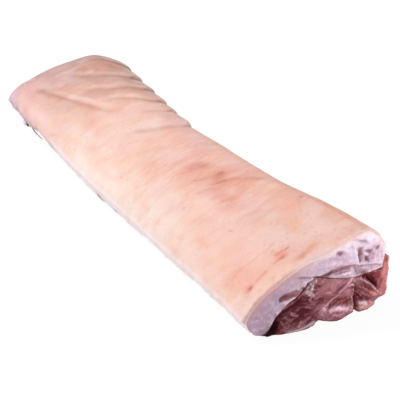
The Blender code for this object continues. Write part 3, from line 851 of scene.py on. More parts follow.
def with_dabs(tone, p, q, dabs, gain=1.0):
    """The tones under a table's patches: centre, radii, turn, colour, strength and perhaps a power."""
    for centre, radii, turn, colour, strength, *power in dabs.values():
        tone = mixed(tone, colour, strength * (dab(p, q, centre, radii, turn, *power) * gain))
    return tone


def with_strokes(tone, p, q, strokes, gain=1.0):
    """The tones under a table's strokes: path, half width, colour, strength and perhaps fade and power."""
    for path, half_width, colour, strength, *ends in strokes.values():
        tone = mixed(tone, colour, strength * stroke(p, q, path, half_width, *ends) * gain)
    return tone


CREAM = (250, 224, 212)
PEACH = (246, 207, 192)
ROSE = (240, 192, 178)
CHINE_TAN = (222, 178, 162)
# FAR_GREY, FAR_PINK and FAR_EDGE are painted shade for the far half of the rind.
FAR_GREY = (176, 140, 134)
FAR_PINK = (188, 140, 128)
FAR_EDGE = (210, 160, 156)
END_GREY = (182, 160, 162)
BLUSH = (234, 158, 138)
BRUISE = (205, 124, 106)
APRICOT = (246, 184, 152)
CREASE_SHADE = (176, 122, 108)
SCRATCH = (206, 96, 82)
# A pale tone: in the mottle and streaks it is the skin's own, on the folds' rolls and laps it is painted
# light.
PALE_FOLD = (250, 219, 208)
MOTTLE_PINK = (240, 172, 156)
COOL_PINK = (242, 200, 200)
BELLY_RIM = (250, 234, 238)
FAR_BELLY_RIM = (206, 172, 180)
CHINE_RIM = (222, 142, 114)
# CHINE_PALE is painted light on the roll tops by the chine edge, in the far half.
CHINE_PALE = (236, 206, 192)
CHINE_GREY = (166, 144, 138)
LOW_RIM = (210, 168, 168)
HIGH_RIM = (246, 216, 212)
FOLD_SHADE = (186, 140, 124)
LIT_SIDE = 6.0  # mm to the left of a fold, where its roll gets painted light
LIT_HALF = 4.5
LIT_STRENGTH = 0.13
CREASE_HALF = 1.6
SHADE_HALF = 10.0
SHADE_STRENGTH = 0.16


def paint_folds(tone, x, across):
    """Painted shade in the folds' bottoms and on their right, and painted light on the rolls on their left.
    """
    for distance, reach, left, depth, sharp, tint in fold_distances(x, across):
        shade = ease(left, 1.0, -2.0) * bell(left, SHADE_HALF)
        tone = layered(
            tone,
            (CREASE_SHADE, tint * reach * bell(distance, CREASE_HALF)),
            (FOLD_SHADE, SHADE_STRENGTH * sharp * depth * reach * shade),
            (PALE_FOLD, LIT_STRENGTH * depth * reach * bell(left - LIT_SIDE, LIT_HALF)),
        )
    return tone


def paint_rind(x, across):
    """The rind's tone at each x and share across."""
    q = across * RIND_WIDTH
    flat = on_rind(x, q)
    far = ease(x + 25 * noise(flat, (60, 90, 1), 9.0), -60, -285)
    tone = layered(
        plain(CREAM, len(x)),
        (PEACH, 0.9 * ease(across + 0.05 * noise(flat, (50, 60, 1)), 0.10, 0.34)),
        (ROSE, 0.7 * ease(across + 0.08 * noise(flat, (40, 70, 1), 4.0), 0.36, 0.66)),
        (CHINE_TAN, 0.75 * ease(across, 0.62, 0.86)),
        # painted shade: the next three layers darken the far half
        (FAR_PINK, 0.90 * far * ease(across, 0.02, 0.34)),
        (FAR_EDGE, 0.80 * far * ease(across, 0.34, 0.05)),
        (FAR_GREY, 0.45 * ease(x, -262, -290) * ease(across, 0.0, 0.3)),
        (END_GREY, 0.65 * ease(x + 3 * noise(flat, (12, 12, 1), 65.0), -274, -293)),
    )
    cloud = rough(flat, (42, 60, 1), 14.0)
    middle = ease(x, -30, 50) * ease(x, 230, 150) * ease(across, 0.12, 0.40) * ease(across, 0.80, 0.62)
    tone = mixed(tone, BLUSH, 0.55 * middle * np.clip(0.45 + 0.7 * cloud, 0, 1))
    fine_streaks = noise_sum(flat, (1, (3.8, 24, 1), 12.0), (0.8, (2.4, 11, 1), 15.0))
    tone = two_way(tone, fine_streaks, (BLUSH, 0.34 * (0.3 + middle)), (PALE_FOLD, 0.26 * (0.3 + middle)))
    mottle = rough(flat, (14, 18, 1), 30.0, 4)
    tone = two_way(tone, mottle, (MOTTLE_PINK, 0.42), (PALE_FOLD, 0.42))
    tone = two_way(tone, rough(flat, (24, 22, 1), 40.0), (APRICOT, 0.38), (COOL_PINK, 0.38))
    speckled = ease(noise(flat, (30, 30, 1), 53.0), -0.2, 0.5)
    speck = ease(noise(flat, (2.6, 2.9, 1), 51.0), 0.48, 0.8) * speckled
    lilac = ease(across + 0.012 * noise(flat, (7, 7, 1), 33.0), 0.032, 0.0) * ease(x, -150, -200)
    ragged = x + 1.5 * noise(flat, (5, 5, 1), 61.0) + 0.9 * noise(flat, (1.6, 1.6, 1), 63.0)
    rim = np.maximum(ease(ragged, NEAR_X - 4, NEAR_X - 1), ease(x, NEAR_X - 1.6, NEAR_X - 0.4))
    tone = layered(
        tone,
        (BRUISE, 0.22 * speck),
        (BELLY_RIM, 0.8 * ease(across, 0.035, 0.0) * ease(x, -170, -120)),
        (FAR_BELLY_RIM, 0.8 * lilac),
        # painted light on the roll tops by the chine edge
        (CHINE_PALE, 0.45 * bell(across - 0.87, 0.035) * ease(x, 0, -90)),
        (CHINE_GREY, 0.5 * ease(across, 0.88, 0.96) * ease(x, 60, -60)),
        (CHINE_RIM, 0.4 * ease(x, 130, 210) * bell(across - 0.80, 0.022)),
        (LOW_RIM, 0.75 * rim * ease(across, 0.42, 0.22)),
        (HIGH_RIM, 0.70 * rim * ease(across, 0.30, 0.42)),
    )
    tone = paint_folds(tone, x, across)
    tone = with_dabs(tone, x, q, RIND_DABS, 1 + 0.35 * mottle)
    return with_strokes(tone, x, q, RIND_STROKES, 1 + 0.3 * mottle)


RIND_DABS = {  # centre (x, mm across), radii, turn in degrees, colour, strength
    # Painted shade: the next three dabs darken the far middle of the rind.
    "painted shade in the far middle": ((-184, 132), (32, 24), 0, (184, 142, 128), 0.36),
    "painted shade in the far valley": ((-184, 86), (18, 12), 0, (186, 140, 124), 0.26),
    "painted shade by the far belly": ((-182, 48), (20, 10), 0, (196, 150, 136), 0.28),
    "bruise one": ((75, 107), (7.5, 12), 0, BRUISE, 0.62),
    "bruise one's right": ((82, 112), (4, 7), 0, BRUISE, 0.4),
    "bruise two": ((108, 112), (9, 10), 0, BRUISE, 0.6),
    "bruise two's top": ((106, 119), (4, 4), 0, BRUISE, 0.5),
    "bruise three": ((120, 107), (2.6, 9), -8, BRUISE, 0.5),
    "bruise four": ((135, 126), (5, 14), -45, BLUSH, 0.4),
    "wide blush": ((105, 92), (40, 26), 0, BLUSH, 0.30),
    "near blush": ((150, 96), (24, 18), 0, BLUSH, 0.25),
    "left blush": ((40, 64), (26, 12), 30, BLUSH, 0.30),
    "belly blush": ((235, 30), (60, 26), 0, (247, 182, 160), 0.60),
    "red belly blush": ((262, 44), (18, 24), 0, (242, 166, 150), 0.40),
    "edge spot": ((288, 88), (3.6, 9), 12, (232, 134, 100), 0.75),
    "edge spot's tail": ((282, 104), (5, 8), 20, (238, 160, 128), 0.6),
    "red mark": ((280.4, 29.4), (1.9, 3.3), 10, (164, 18, 18), 1.0),
    "red mark's halo": ((279, 30), (5, 7), 0, (240, 130, 110), 0.6),
    "scratch patch": ((275.2, 73), (2.0, 4.8), 0, (190, 92, 70), 0.75),
    "scratch patch's halo": ((270.6, 74), (7, 8), 0, (240, 140, 116), 0.55),
    "brown by the cut": ((290.4, 86), (3.2, 3.6), 20, (204, 132, 98), 0.5),
    # painted highlight on the far lap
    "painted highlight on the far lap": ((-46, 112), (13, 16), 30, PALE_FOLD, 0.6),
    # Painted shade between the far rolls, beside the creases.
    "far painted shade patch": ((-250, 138), (16, 7), 0, (184, 138, 120), 0.35),
    "painted shade by the first crease": ((-192, 134), (5, 16), 0, (186, 148, 138), 0.3),
    "painted shade by the second crease": ((-148, 136), (7, 18), 0, (194, 150, 134), 0.3),
    "painted shade right of the second crease": ((-162, 104), (9, 14), -40, (206, 158, 138), 0.40),
    "painted shade above the branch": ((-216, 106), (14, 9), 0, (196, 156, 146), 0.35),
    "mauve by the valley": ((-272, 60), (14, 9), 0, (214, 164, 160), 0.4),
    # painted light on a bump of the far rind
    "painted light on the far bump": ((-240, 62), (9, 6), 20, (240, 204, 198), 0.35),
    "grey far end": ((-292, 90), (7, 40), 0, (176, 144, 140), 0.6),
    "lilac": ((-96, 42), (11, 6), 0, (248, 224, 230), 0.65),
    "lilac by the end": ((-286, 10), (12, 9), 0, (222, 196, 210), 0.65),
    "belly pink": ((-262, 26), (26, 7), 0, (232, 172, 166), 0.55),
    "pale far belly": ((-205, 14), (50, 9), 0, (252, 216, 216), 0.55),
    "grey far middle": ((-284, 80), (14, 24), 0, (208, 178, 176), 0.6),
    "pale near belly": ((150, 68), (46, 14), 0, (252, 220, 210), 0.45),
    "red by the bead": ((-238, 9), (7, 5), 0, (240, 176, 180), 0.6),
    "grey chine far end": ((-284, 125), (12, 34), 0, (186, 154, 146), 0.40),
    "lilac white belly": ((-62, 6), (32, 7), 0, (255, 240, 248), 0.5),
    "salmon valley": ((-128, 62), (46, 18), 0, (236, 176, 156), 0.35),
    "salmon belly": ((-60, 30), (26, 9), 0, (240, 188, 170), 0.40),
    "salmon middle": ((0, 68), (30, 12), 0, (236, 182, 162), 0.35),
    "cool valley's far side": ((-240, 78), (22, 12), 0, (228, 202, 204), 0.40),
    "cool chine middle": ((24, 140), (60, 16), 0, (228, 190, 196), 0.30),
    "yellow": ((-104, 30), (16, 4), 10, (250, 222, 190), 0.5),
    "orange": ((-146, 40), (14, 7), 10, (246, 190, 156), 0.5),
    "orange line": ((-150, 10), (8, 2), 25, (228, 172, 142), 0.6),
    "pink laps": ((-116, 22), (30, 5), 8, (246, 196, 184), 0.5),
    "cream belly": ((20, 12), (90, 14), 0, (253, 238, 230), 0.5),
}
RIND_STROKES = {  # path of (x, mm across), half width, colour, strength
    "streak above the bruises": (
        ((119, 108), (124, 120), (134, 133), (148, 146), (156, 152)), 4.0, BRUISE, 0.35),
    "bruise's tail": (((77, 104), (76, 88), (70, 66)), 2.2, BLUSH, 0.5),
    "bruise's second tail": (((88, 106), (93, 96), (97, 84)), 1.8, BLUSH, 0.6),
    "bruise's third tail": (((103, 102), (100, 92), (94, 82)), 1.6, BRUISE, 0.35),
    "dark mark in the bruise": (((107, 122), (106, 116), (107, 112)), 2.0, (196, 100, 86), 0.4),
    "bruise's right edge": (((121, 115), (119.5, 108), (118.5, 101)), 1.4, (196, 108, 92), 0.4),
    "streak one": (((124, 98), (121, 84), (120, 74)), 1.6, BRUISE, 0.3),
    "streak two": (((143, 100), (140, 88), (139, 78)), 2.2, BLUSH, 0.4),
    "streak three": (((158, 108), (154, 94), (150, 84)), 2.6, BLUSH, 0.4),
    "scratch": (((266.4, 87.6), (267.2, 84), (267.4, 80)), 0.9, (184, 112, 102), 0.7),
    "scratch's end": (((267.2, 81), (267.0, 69)), 1.7, (222, 128, 108), 0.5),
    "scratch patch's tail": (((275.2, 70), (275.8, 61)), 1.6, (222, 144, 124), 0.45),
    "long scratch": (((251, 84), (253, 60), (252, 38), (254, 18)), 0.9, BLUSH, 0.5),
    "fine scratch": (((277, 54), (277.8, 46), (279.6, 35)), 1.2, SCRATCH, 0.35),
    "light scratch": (((250, 82), (254, 72), (258, 62)), 1.2, BLUSH, 0.5),
    "far edge's spots": (((-287, 1.5), (-279, 0.5)), 1.2, (156, 130, 142), 0.6),
    "far edge's next spots": (((-266, 1), (-250, 0)), 1.2, (156, 130, 142), 0.6),
    "thin crease": (((-105, 48), (-104, 40), (-104, 34)), 0.9, BRUISE, 0.4),
    "small mark": (((15, 29), (16, 31)), 1.8, BRUISE, 0.35),
    "small mark two": (((160, 86), (162, 88)), 1.8, BRUISE, 0.3),
    "small mark three": (((195, 62), (202, 64)), 1.3, BRUISE, 0.4),
    "small mark four": (((46, 78), (48, 80)), 1.8, BRUISE, 0.3),
    "small mark five": (((204, 148), (208, 150)), 2.4, (196, 104, 84), 0.5),
    "valley shade": (
        ((-262, 36), (-236, 42), (-205, 51), (-172, 62), (-140, 74), (-104, 92)), 4.6, (196, 142, 128), 0.22),
    "branch shade": (((-258, 34), (-244, 44), (-232, 58)), 4.6, (190, 146, 136), 0.35),
    "valley's lit lap": (((-202, 60), (-176, 71), (-146, 84), (-124, 96)), 3.2, PALE_FOLD, 0.45),
    "fifth crease's shade": (((-48, 86), (-38, 98), (-27, 116), (-17, 138)), 5.0, (214, 166, 152), 0.45),
}

# Colours on the cut are named as they look in the soft light there, so that the paint is lighter by this much
CUT_LIGHT = 0.92

FAT_LILAC = (198, 168, 184)
# Painted shade on the cut fat's left, and painted light on its upper right.
FAT_LEFT_SHADE = (160, 131, 149)
FAT_LIT_UPPER_RIGHT = (232, 208, 224)
FAT_SHADE = (156, 122, 142)
FAT_PALE = (244, 222, 236)
FAT_WARM = (214, 170, 182)
FAT_COOL = (186, 170, 202)
SKIN_EDGE = (244, 214, 208)
EDGE_BROWN = (186, 142, 144)
EDGE_PALE = (250, 222, 224)

CUT_FAT_DABS = {  # centre (y, z), radii, turn, colour, strength
    "blue left": ((-46, 31), (7, 7), 0, (164, 146, 176), 0.6),
    "pink left": ((-53, 36), (6, 5), 30, (190, 148, 168), 0.6),
    "pink above the false lean": ((-31, 45), (6, 3.5), 20, (188, 154, 166), 0.6),
    "grey by the seam": ((-19, 44), (7, 4), 0, (178, 146, 154), 0.7),
    # painted highlights on the crest
    "crest's painted highlight": ((28, 69.5), (9, 4), 15, (234, 222, 238), 0.85),
    "brightest painted highlight": ((53, 76.5), (9, 4.5), -10, (250, 238, 250), 0.95),
    "crest's right": ((63, 68), (4, 8), 15, (242, 214, 222), 0.8),
    "between the lines": ((45, 70.5), (7, 2.6), -15, (232, 216, 228), 0.7),
    "light left end": ((-18, 58.5), (5, 2.6), 10, (232, 216, 236), 0.7),
    "mauve under the pit": ((22, 60.4), (9, 1.8), -10, (176, 146, 170), 0.7),
    "bright under the mauve": ((17, 57.6), (9, 1.5), -6, (230, 200, 224), 0.7),
    "grey over the streak": ((15, 54.4), (6, 1.8), -4, (176, 150, 164), 0.7),
    "pink over the streak": ((28, 54), (6, 2.2), -8, (196, 156, 172), 0.6),
    "right block": ((55, 58), (8, 8), 0, (192, 152, 174), 0.85),
    "right block's pink": ((61, 53), (5, 3), -15, (226, 188, 202), 0.6),
    "lens": ((25, 45), (7, 1.6), -14, (212, 164, 176), 0.8),
    "lens' right": ((33, 44.6), (4, 1.8), -10, (218, 176, 188), 0.7),
    "lens' heart": ((28.8, 44.6), (5.2, 1.5), -3, (250, 224, 236), 0.9),
    "grey by the lens": ((40.4, 43.0), (4.6, 3.2), -5, (128, 90, 100), 0.9),
    "dark knot": ((46, 40.6), (2.4, 2.6), 0, (128, 84, 94), 0.85),
    "right band": ((57, 43.4), (7.5, 2.4), -12, (184, 138, 150), 0.95),
    "right band's light": ((51.9, 42.6), (2.6, 1.2), 0, (224, 188, 198), 0.7),
    "right band's second light": ((58.6, 42.8), (2.6, 1.2), -10, (228, 190, 198), 0.7),
    "under the right band": ((46.9, 38.8), (2.6, 1.5), 0, (116, 72, 82), 0.8),
    "right band's end": ((64.5, 41), (3.4, 2.2), -10, (236, 186, 194), 0.75),
    "warm fringe": ((-11.5, 35.4), (2.4, 1.6), 20, (190, 150, 152), 0.7),
}
CUT_FAT_STROKES = {  # path of (y, z), half width, colour, strength, and perhaps a fade and a power
    "upper line": (((29, 77.2), (36, 76.2), (44, 73.8), (50, 70.8)), 1.3, (156, 118, 138), 0.85, 0.2),
    "second upper line": (((41, 71.4), (47, 70.4), (52, 68)), 0.6, (190, 158, 176), 0.6, 0.3),
    "pits' shade": (((46, 55), (50, 58), (54, 60)), 4.6, (178, 136, 156), 0.45, 0.1),
    "wedge": (((40.2, 66.2), (41.4, 61.4)), 3.3, (142, 92, 106), 0.95, 0, 3),
    "wedge's foot": (((41.2, 60.6), (42.0, 52.4)), 1.7, (128, 80, 96), 0.9, 0.06, 3),
    "wedge's dark heart": (((39.6, 64), (41.0, 58.6)), 1.4, (118, 68, 82), 0.7, 0.1),
    "ridge": (((32.8, 69.5), (35.2, 65.8), (37.6, 59), (39.8, 53)), 1.2, (248, 228, 240), 0.9),
    "pit's soft side": (((20.4, 66.2), (25.4, 64.0)), 1.9, (176, 146, 164), 0.7, 0),
    "pit": (((18.6, 67.2), (21.6, 65.6)), 1.8, (140, 102, 120), 0.85, 0),
    "low pit": (((47.2, 57.2), (48.4, 55.2)), 2.0, (112, 62, 74), 0.9, 0),
    "low pit's foot": (((49.6, 54.6), (51.0, 52.0)), 0.9, (138, 92, 106), 0.75, 0),
    "corner pit": (((60.4, 66.4), (58.4, 63.8)), 1.3, (142, 94, 110), 0.85, 0),
    "speck by the corner pit": (((55.4, 66.2), (56.6, 65.2)), 1.1, (176, 132, 150), 0.75, 0),
    "upper pit": (((46.0, 63.6), (48.8, 62.9), (51.8, 63.6)), 1.2, (116, 68, 82), 0.9, 0),
    "upper pit's foot": (((50.8, 62.4), (50.4, 59.4)), 1.2, (166, 122, 140), 0.7, 0),
    "light under the pit": (((44.6, 62.4), (47.8, 60.6)), 1.1, (252, 222, 226), 0.85, 0),
    "mauve by the wedge": (((45.4, 58.4), (45.0, 53.6)), 1.8, (192, 152, 170), 0.6, 0),
    "speck on the block": (((58.8, 57.4), (59.0, 55.4)), 0.9, (176, 138, 160), 0.6, 0),
    "cheek's streak": (((64, 61), (64.4, 54)), 0.8, (196, 152, 160), 0.7, 0.2),
    "streak's dark root": (((5.6, 46.2), (9, 47.0), (13, 49)), 2.2, (92, 38, 50), 0.95, 0, 3),
    "lean streak": (((12, 48.8), (18, 50.2), (25, 50.2), (33, 49.8)), 1.9, (134, 72, 86), 0.92, 0.05, 3),
    "lean streak's middle": (((31, 50.2), (38, 49.8), (46, 48.6)), 1.6, (156, 102, 112), 0.9, 0.02, 3),
    "break in the streak": (((36.4, 51.4), (37.6, 48.8)), 0.6, (226, 192, 200), 0.7, 0),
    "lean streak's end": (((43, 49), (50, 48.0), (58, 46.6), (66, 45.0)), 0.9, (152, 102, 116), 0.85, 0.05),
    "light over the streak": (((31, 52.4), (40, 51.4), (50, 50)), 0.8, (226, 186, 200), 0.6, 0.2),
    "shade under the streak": (((14, 46.6), (22, 47.4), (30, 47.4)), 0.9, (138, 92, 108), 0.7),
    "over the ledge": (((8, 52), (14, 53), (22, 53)), 1.4, (160, 128, 144), 0.6, 0.2),
    "over the lens": (((18, 46.8), (25, 47.3), (33, 46.8)), 0.7, (124, 74, 88), 0.75, 0.2),
    "lens' middle line": (((20, 44), (26, 42.6), (33, 41.4)), 0.8, (150, 102, 114), 0.8, 0.2),
    "lens' dot": (((36.4, 48.6), (38, 43.6)), 1.3, (118, 78, 92), 0.85, 0),
    "grey mottle": (((40, 46.4), (44.6, 44.6), (49, 43.2)), 2.4, (154, 116, 126), 0.8, 0, 3),
    "grey mottle's dark": (((43, 42.6), (47.6, 40.6), (51, 40)), 1.5, (128, 86, 96), 0.75, 0.1),
    "dark line": (((6, 45.6), (13, 43.2), (20, 41.4), (30, 39.2), (38, 37.4)), 0.7, (98, 50, 62), 0.9, 0.05),
    "over the pocket": (((44, 38.4), (50, 39), (58, 40), (66, 41.4)), 0.8, (150, 98, 108), 0.6, 0.1),
    "ledge line": (((-22, 51.2), (-17, 50.2), (-11, 48.8), (-5, 47.8)), 0.8, (118, 86, 104), 0.8, 0.2),
    "ledge line's dark end": (((-6, 47.8), (0, 47.0), (6, 46.2)), 0.9, (88, 42, 52), 0.85, 0.1),
    "ledge shade": (((-22, 50.6), (-18, 50.8)), 1.8, (142, 112, 128), 0.6, 0),
    "false lean": (((-36.8, 34.2), (-30, 35.4), (-22, 36.2)), 3.1, (124, 56, 66), 1.0, 0, 6),
    "false lean's left": (((-37.8, 33.8), (-33.4, 34.4)), 2.7, (100, 44, 46), 0.9, 0, 4),
    "false lean's light": (((-30, 36.6), (-23, 37.4)), 1.0, (160, 104, 114), 0.7, 0.2),
    "false lean's tail": (((-23, 36.0), (-16.8, 37.0)), 1.7, (148, 104, 114), 0.85, 0, 3),
    "false lean's lower edge": (((-38.6, 31.6), (-30, 32.6), (-22, 33.6)), 0.8, (92, 48, 56), 0.8, 0.1),
    "false lean's upper edge": (((-38.6, 36.6), (-31, 38.2), (-22, 39.2)), 0.6, (120, 78, 88), 0.6, 0.1),
    "fringe under it": (((-34, 27.4), (-28, 30.6), (-21, 32.6), (-13, 37)), 1.1, (218, 190, 192), 0.8, 0.1),
    "speck 1": (((-17.6, 39.6), (-14.6, 38.8)), 1.4, (112, 88, 100), 0.85, 0),
    "speck 2": (((-11.4, 42.6), (-9.2, 41)), 1.1, (118, 84, 98), 0.8, 0),
    "speck 3": (((-12.6, 34.2), (-10.4, 34.2)), 1.1, (106, 70, 80), 0.8, 0),
    "grey drip": (((-44.6, 22), (-43.6, 17), (-44.6, 12)), 1.1, (134, 106, 120), 0.65, 0.2),
    "grey drip's light": (((-41.6, 20), (-42.4, 15)), 1.0, (204, 172, 180), 0.6, 0.2),
    "inner edge's shade": (
        ((-47, 8), (-41, 14), (-34, 21), (-26, 26), (-19, 30)), 0.6, (128, 98, 112), 0.5, 0.1),
    # painted shadow under the fat's foot
    "painted shadow at the foot": (((-60, -1), (-54, 0.8), (-47.4, 4.4)), 2.8, (48, 14, 20), 0.97, 0.02, 4),
    "low mauve": (((-62, 5), (-55, 6), (-49, 9)), 2.2, (134, 98, 108), 0.55, 0.1),
}
FRINGES = {  # where the fat is spotted, towards the lean: path of (y, z), half width
    "inner edge": (((-50, 10), (-43, 17), (-36, 25), (-27, 31), (-18, 36), (-10, 43)), 3.6),
    "ledge": (((-20, 44), (-10, 46), (2, 46)), 3.6),
    "streak": (((4, 48.6), (14, 52), (26, 53), (38, 52)), 2.4),
    "lens": (((20, 44.6), (33, 43.6), (44, 43.4), (58, 42)), 3.0),
    "pits": (((42, 58), (50, 57.6), (58, 57)), 7.0),
}
FRINGE_DARK = (112, 78, 90)
FRINGE_LIGHT = (240, 220, 228)
FRINGE_BARE = 0.15  # noise up to this leaves a fringe unspotted


def paint_cut_fat(y, z):
    """The fat's tone on the detailed cut face."""
    from_rind = nearest_on_path(y, z, RIND_NEAR)[0]
    y, z = wandering(y, z)
    flat = on_cut(y, z)
    tone = plain(FAT_LILAC, len(y))
    # painted shade on the left, painted light on the upper right
    tone = layered(tone, (FAT_LEFT_SHADE, ease(y, -14, -40)), (FAT_LIT_UPPER_RIGHT, 0.8 * ease(y + 0.6 * z, 44, 78)))
    tone = with_dabs(tone, y, z, CUT_FAT_DABS)
    mottle = noise_sum(flat, (1, (1, 3.6, 3.0), 3.0), (0.7, (1, 1.7, 1.5), 4.0))
    fringe = np.max([stroke(y, z, path, width) for path, width in FRINGES.values()], axis=0)
    spots = noise_sum(flat, (1.7, (1, 1.6, 1.4), 4.4), (0.5, (1, 4, 3), 4.9))
    tone = two_way(tone, mottle, (FAT_SHADE, 0.30), (FAT_PALE, 0.26))
    tone = two_way(tone, noise(flat, (1, 6, 5), 8.0), (FAT_WARM, 0.25), (FAT_COOL, 0.25))
    tone = mixed(tone, FRINGE_DARK, 0.50 * fringe * np.clip(spots - FRINGE_BARE, 0, 1))
    tone = mixed(tone, FRINGE_LIGHT, 0.42 * fringe * np.clip(-spots - FRINGE_BARE, 0, 1))
    tone = with_strokes(tone, y, z, CUT_FAT_STROKES)
    from_rind = from_rind - NEAR_EDGE_RADIUS + 0.9 * noise(flat, (1, 4, 4), 9.0)
    from_rind = from_rind + 0.5 * noise(flat, (1, 1.4, 1.4), 9.7)
    low = ease(y, 10, -20)
    tone = mixed(tone, EDGE_BROWN, 0.65 * low * ease(from_rind, 6.5, 0.6))
    tone = mixed(tone, EDGE_PALE, 0.5 * (1 - low) * ease(from_rind, 2.6, 0.2))
    return tone / CUT_LIGHT


LEAN_RED = (112, 42, 50)
LEAN_DARK = (84, 28, 36)
LEAN_PINK = (172, 100, 112)
MARBLE = (204, 156, 166)
# GLINT is the colour of painted highlights: small wet glints.
GLINT = (240, 204, 210)
LOBE_FROM = 37  # the fibres turn steeper at this y
GLINT_PLACES = {  # centre (y, z) and radii of places with small painted wet glints
    "membrane": ((-9, 38), (5, 8)),
    "pink root": ((7, 13), (4, 5)),
    "by the post": ((36, 24), (3.0, 14)),
    "over the ball": ((46, 13), (11, 3.4)),
    "pocket": ((53, 36), (9, 4)),
    "right foot": ((33, 10), (4, 5)),
}
CUT_LEAN_DABS = {  # centre (y, z), radii, turn, colour, strength and, for a firm edge, a power
    "left field": ((-23, 16), (20, 11), 25, (66, 16, 22), 0.9),
    "brown left": ((-12, 27), (6, 3), 15, (84, 32, 30), 0.6),
    "purple left": ((-30, 17), (7, 4), 35, (92, 36, 50), 0.6),
    "middle": ((-8, 21.5), (13, 9), 30, (66, 6, 18), 0.92),
    "purple middle": ((-4, 22), (5, 5), 0, (118, 50, 68), 0.5),
    "inner light": ((-1, 16), (6, 4.0), 20, (150, 84, 98), 0.7),
    "upper eye": ((0, 35), (8, 5), 10, (152, 76, 82), 0.8),
    "tan eye": ((3, 42.2), (7, 3.2), -10, (160, 102, 98), 0.7),
    "right eye": ((14, 34.5), (8, 5), 20, (180, 108, 118), 0.8),
    "under the dark line": ((21, 38), (8, 2.6), -14, (190, 124, 138), 0.7),
    "pink root": ((5.4, 14), (4.0, 4.2), 0, (206, 146, 158), 0.85),
    # painted highlight on the root
    "root's painted highlight": ((7.2, 13.4), (1.5, 1.7), 20, (232, 172, 182), 0.85),
    "dark spot": ((-0.4, 39.6), (1.8, 1.0), -15, (100, 34, 42), 0.8),
    "eye's dark corner": ((-5.4, 42), (1.6, 2.6), 0, (108, 56, 68), 0.75),
    # painted highlight on the eye
    "eye's painted highlight": ((8.4, 30.4), (3.4, 0.9), 10, (204, 136, 142), 0.4),
    "heart": ((19, 17.6), (10, 4.8), 8, (112, 36, 38), 0.9),
    "heart's brown": ((26.6, 15.6), (3.0, 4.8), 25, (122, 36, 24), 0.85),
    "heart's left dark": ((11.6, 15.8), (3.2, 2.0), 30, (96, 42, 48), 0.75),
    "heart's top dark": ((22, 23), (5, 1.6), 35, (126, 58, 62), 0.6),
    "over the heart": ((30, 26), (5.0, 3.8), 20, (184, 112, 126), 0.8),
    "bead on the post": ((37.2, 15.8), (1.2, 1.6), 0, (234, 184, 190), 0.75),
    "foot's red": ((22.4, 4.6), (3.6, 2.0), 0, (188, 98, 108), 0.75),
    "foot's grey": ((10, 3.4), (5, 1.4), 0, (146, 112, 122), 0.6),
    "foot's left": ((4, 9), (3, 3), 0, (170, 110, 128), 0.6),
    "right foot": ((33.4, 9.4), (2.6, 4.0), 0, (202, 146, 158), 0.75),
    "lobe": ((48, 24), (10, 9), 0, (116, 42, 48), 0.88),
    # painted highlight on the lobe
    "lobe's painted highlight": ((59, 17.6), (3.6, 1.8), -25, (224, 140, 132), 0.75),
    "lobe's pink foot": ((55, 15), (3.2, 2.0), 0, (184, 92, 108), 0.7),
    # painted highlight: the bright salmon spot on the flap
    "salmon": ((69.8, 35), (3.2, 7.0), 0, (255, 150, 146), 1.0),
    "flap's top": ((71, 46), (2.6, 4.6), 0, (226, 160, 164), 0.75),
    "flap's foot": ((67.5, 16), (4, 2.4), 20, (208, 128, 126), 0.75),
    # painted shade in the cleft
    "cleft's dark": ((40.6, 19.2), (3.2, 1.6), -20, (74, 12, 18), 0.9),
    "ball": ((49.0, 8.0), (6.8, 5.0), -4, (178, 98, 90), 0.97, 4),
    "ball's right": ((56.4, 8.4), (3.0, 3.2), 0, (210, 160, 166), 0.8),
    # painted highlight on the ball's top
    "ball's painted top highlight": ((46.0, 11.6), (4.2, 2.3), 6, (255, 222, 230), 1.0, 3),
    "ball's orange": ((49, 5.8), (4.2, 1.8), 0, (220, 150, 128), 0.6),
    "ball's left": ((43.6, 8.6), (1.8, 3.6), 0, (228, 172, 172), 0.75),
    "ball's pink": ((53.6, 10.4), (1.3, 1.5), 0, (226, 140, 152), 0.7),
    "bead above the ball": ((41.4, 16.0), (1.3, 0.9), -35, (226, 170, 176), 0.8),
}
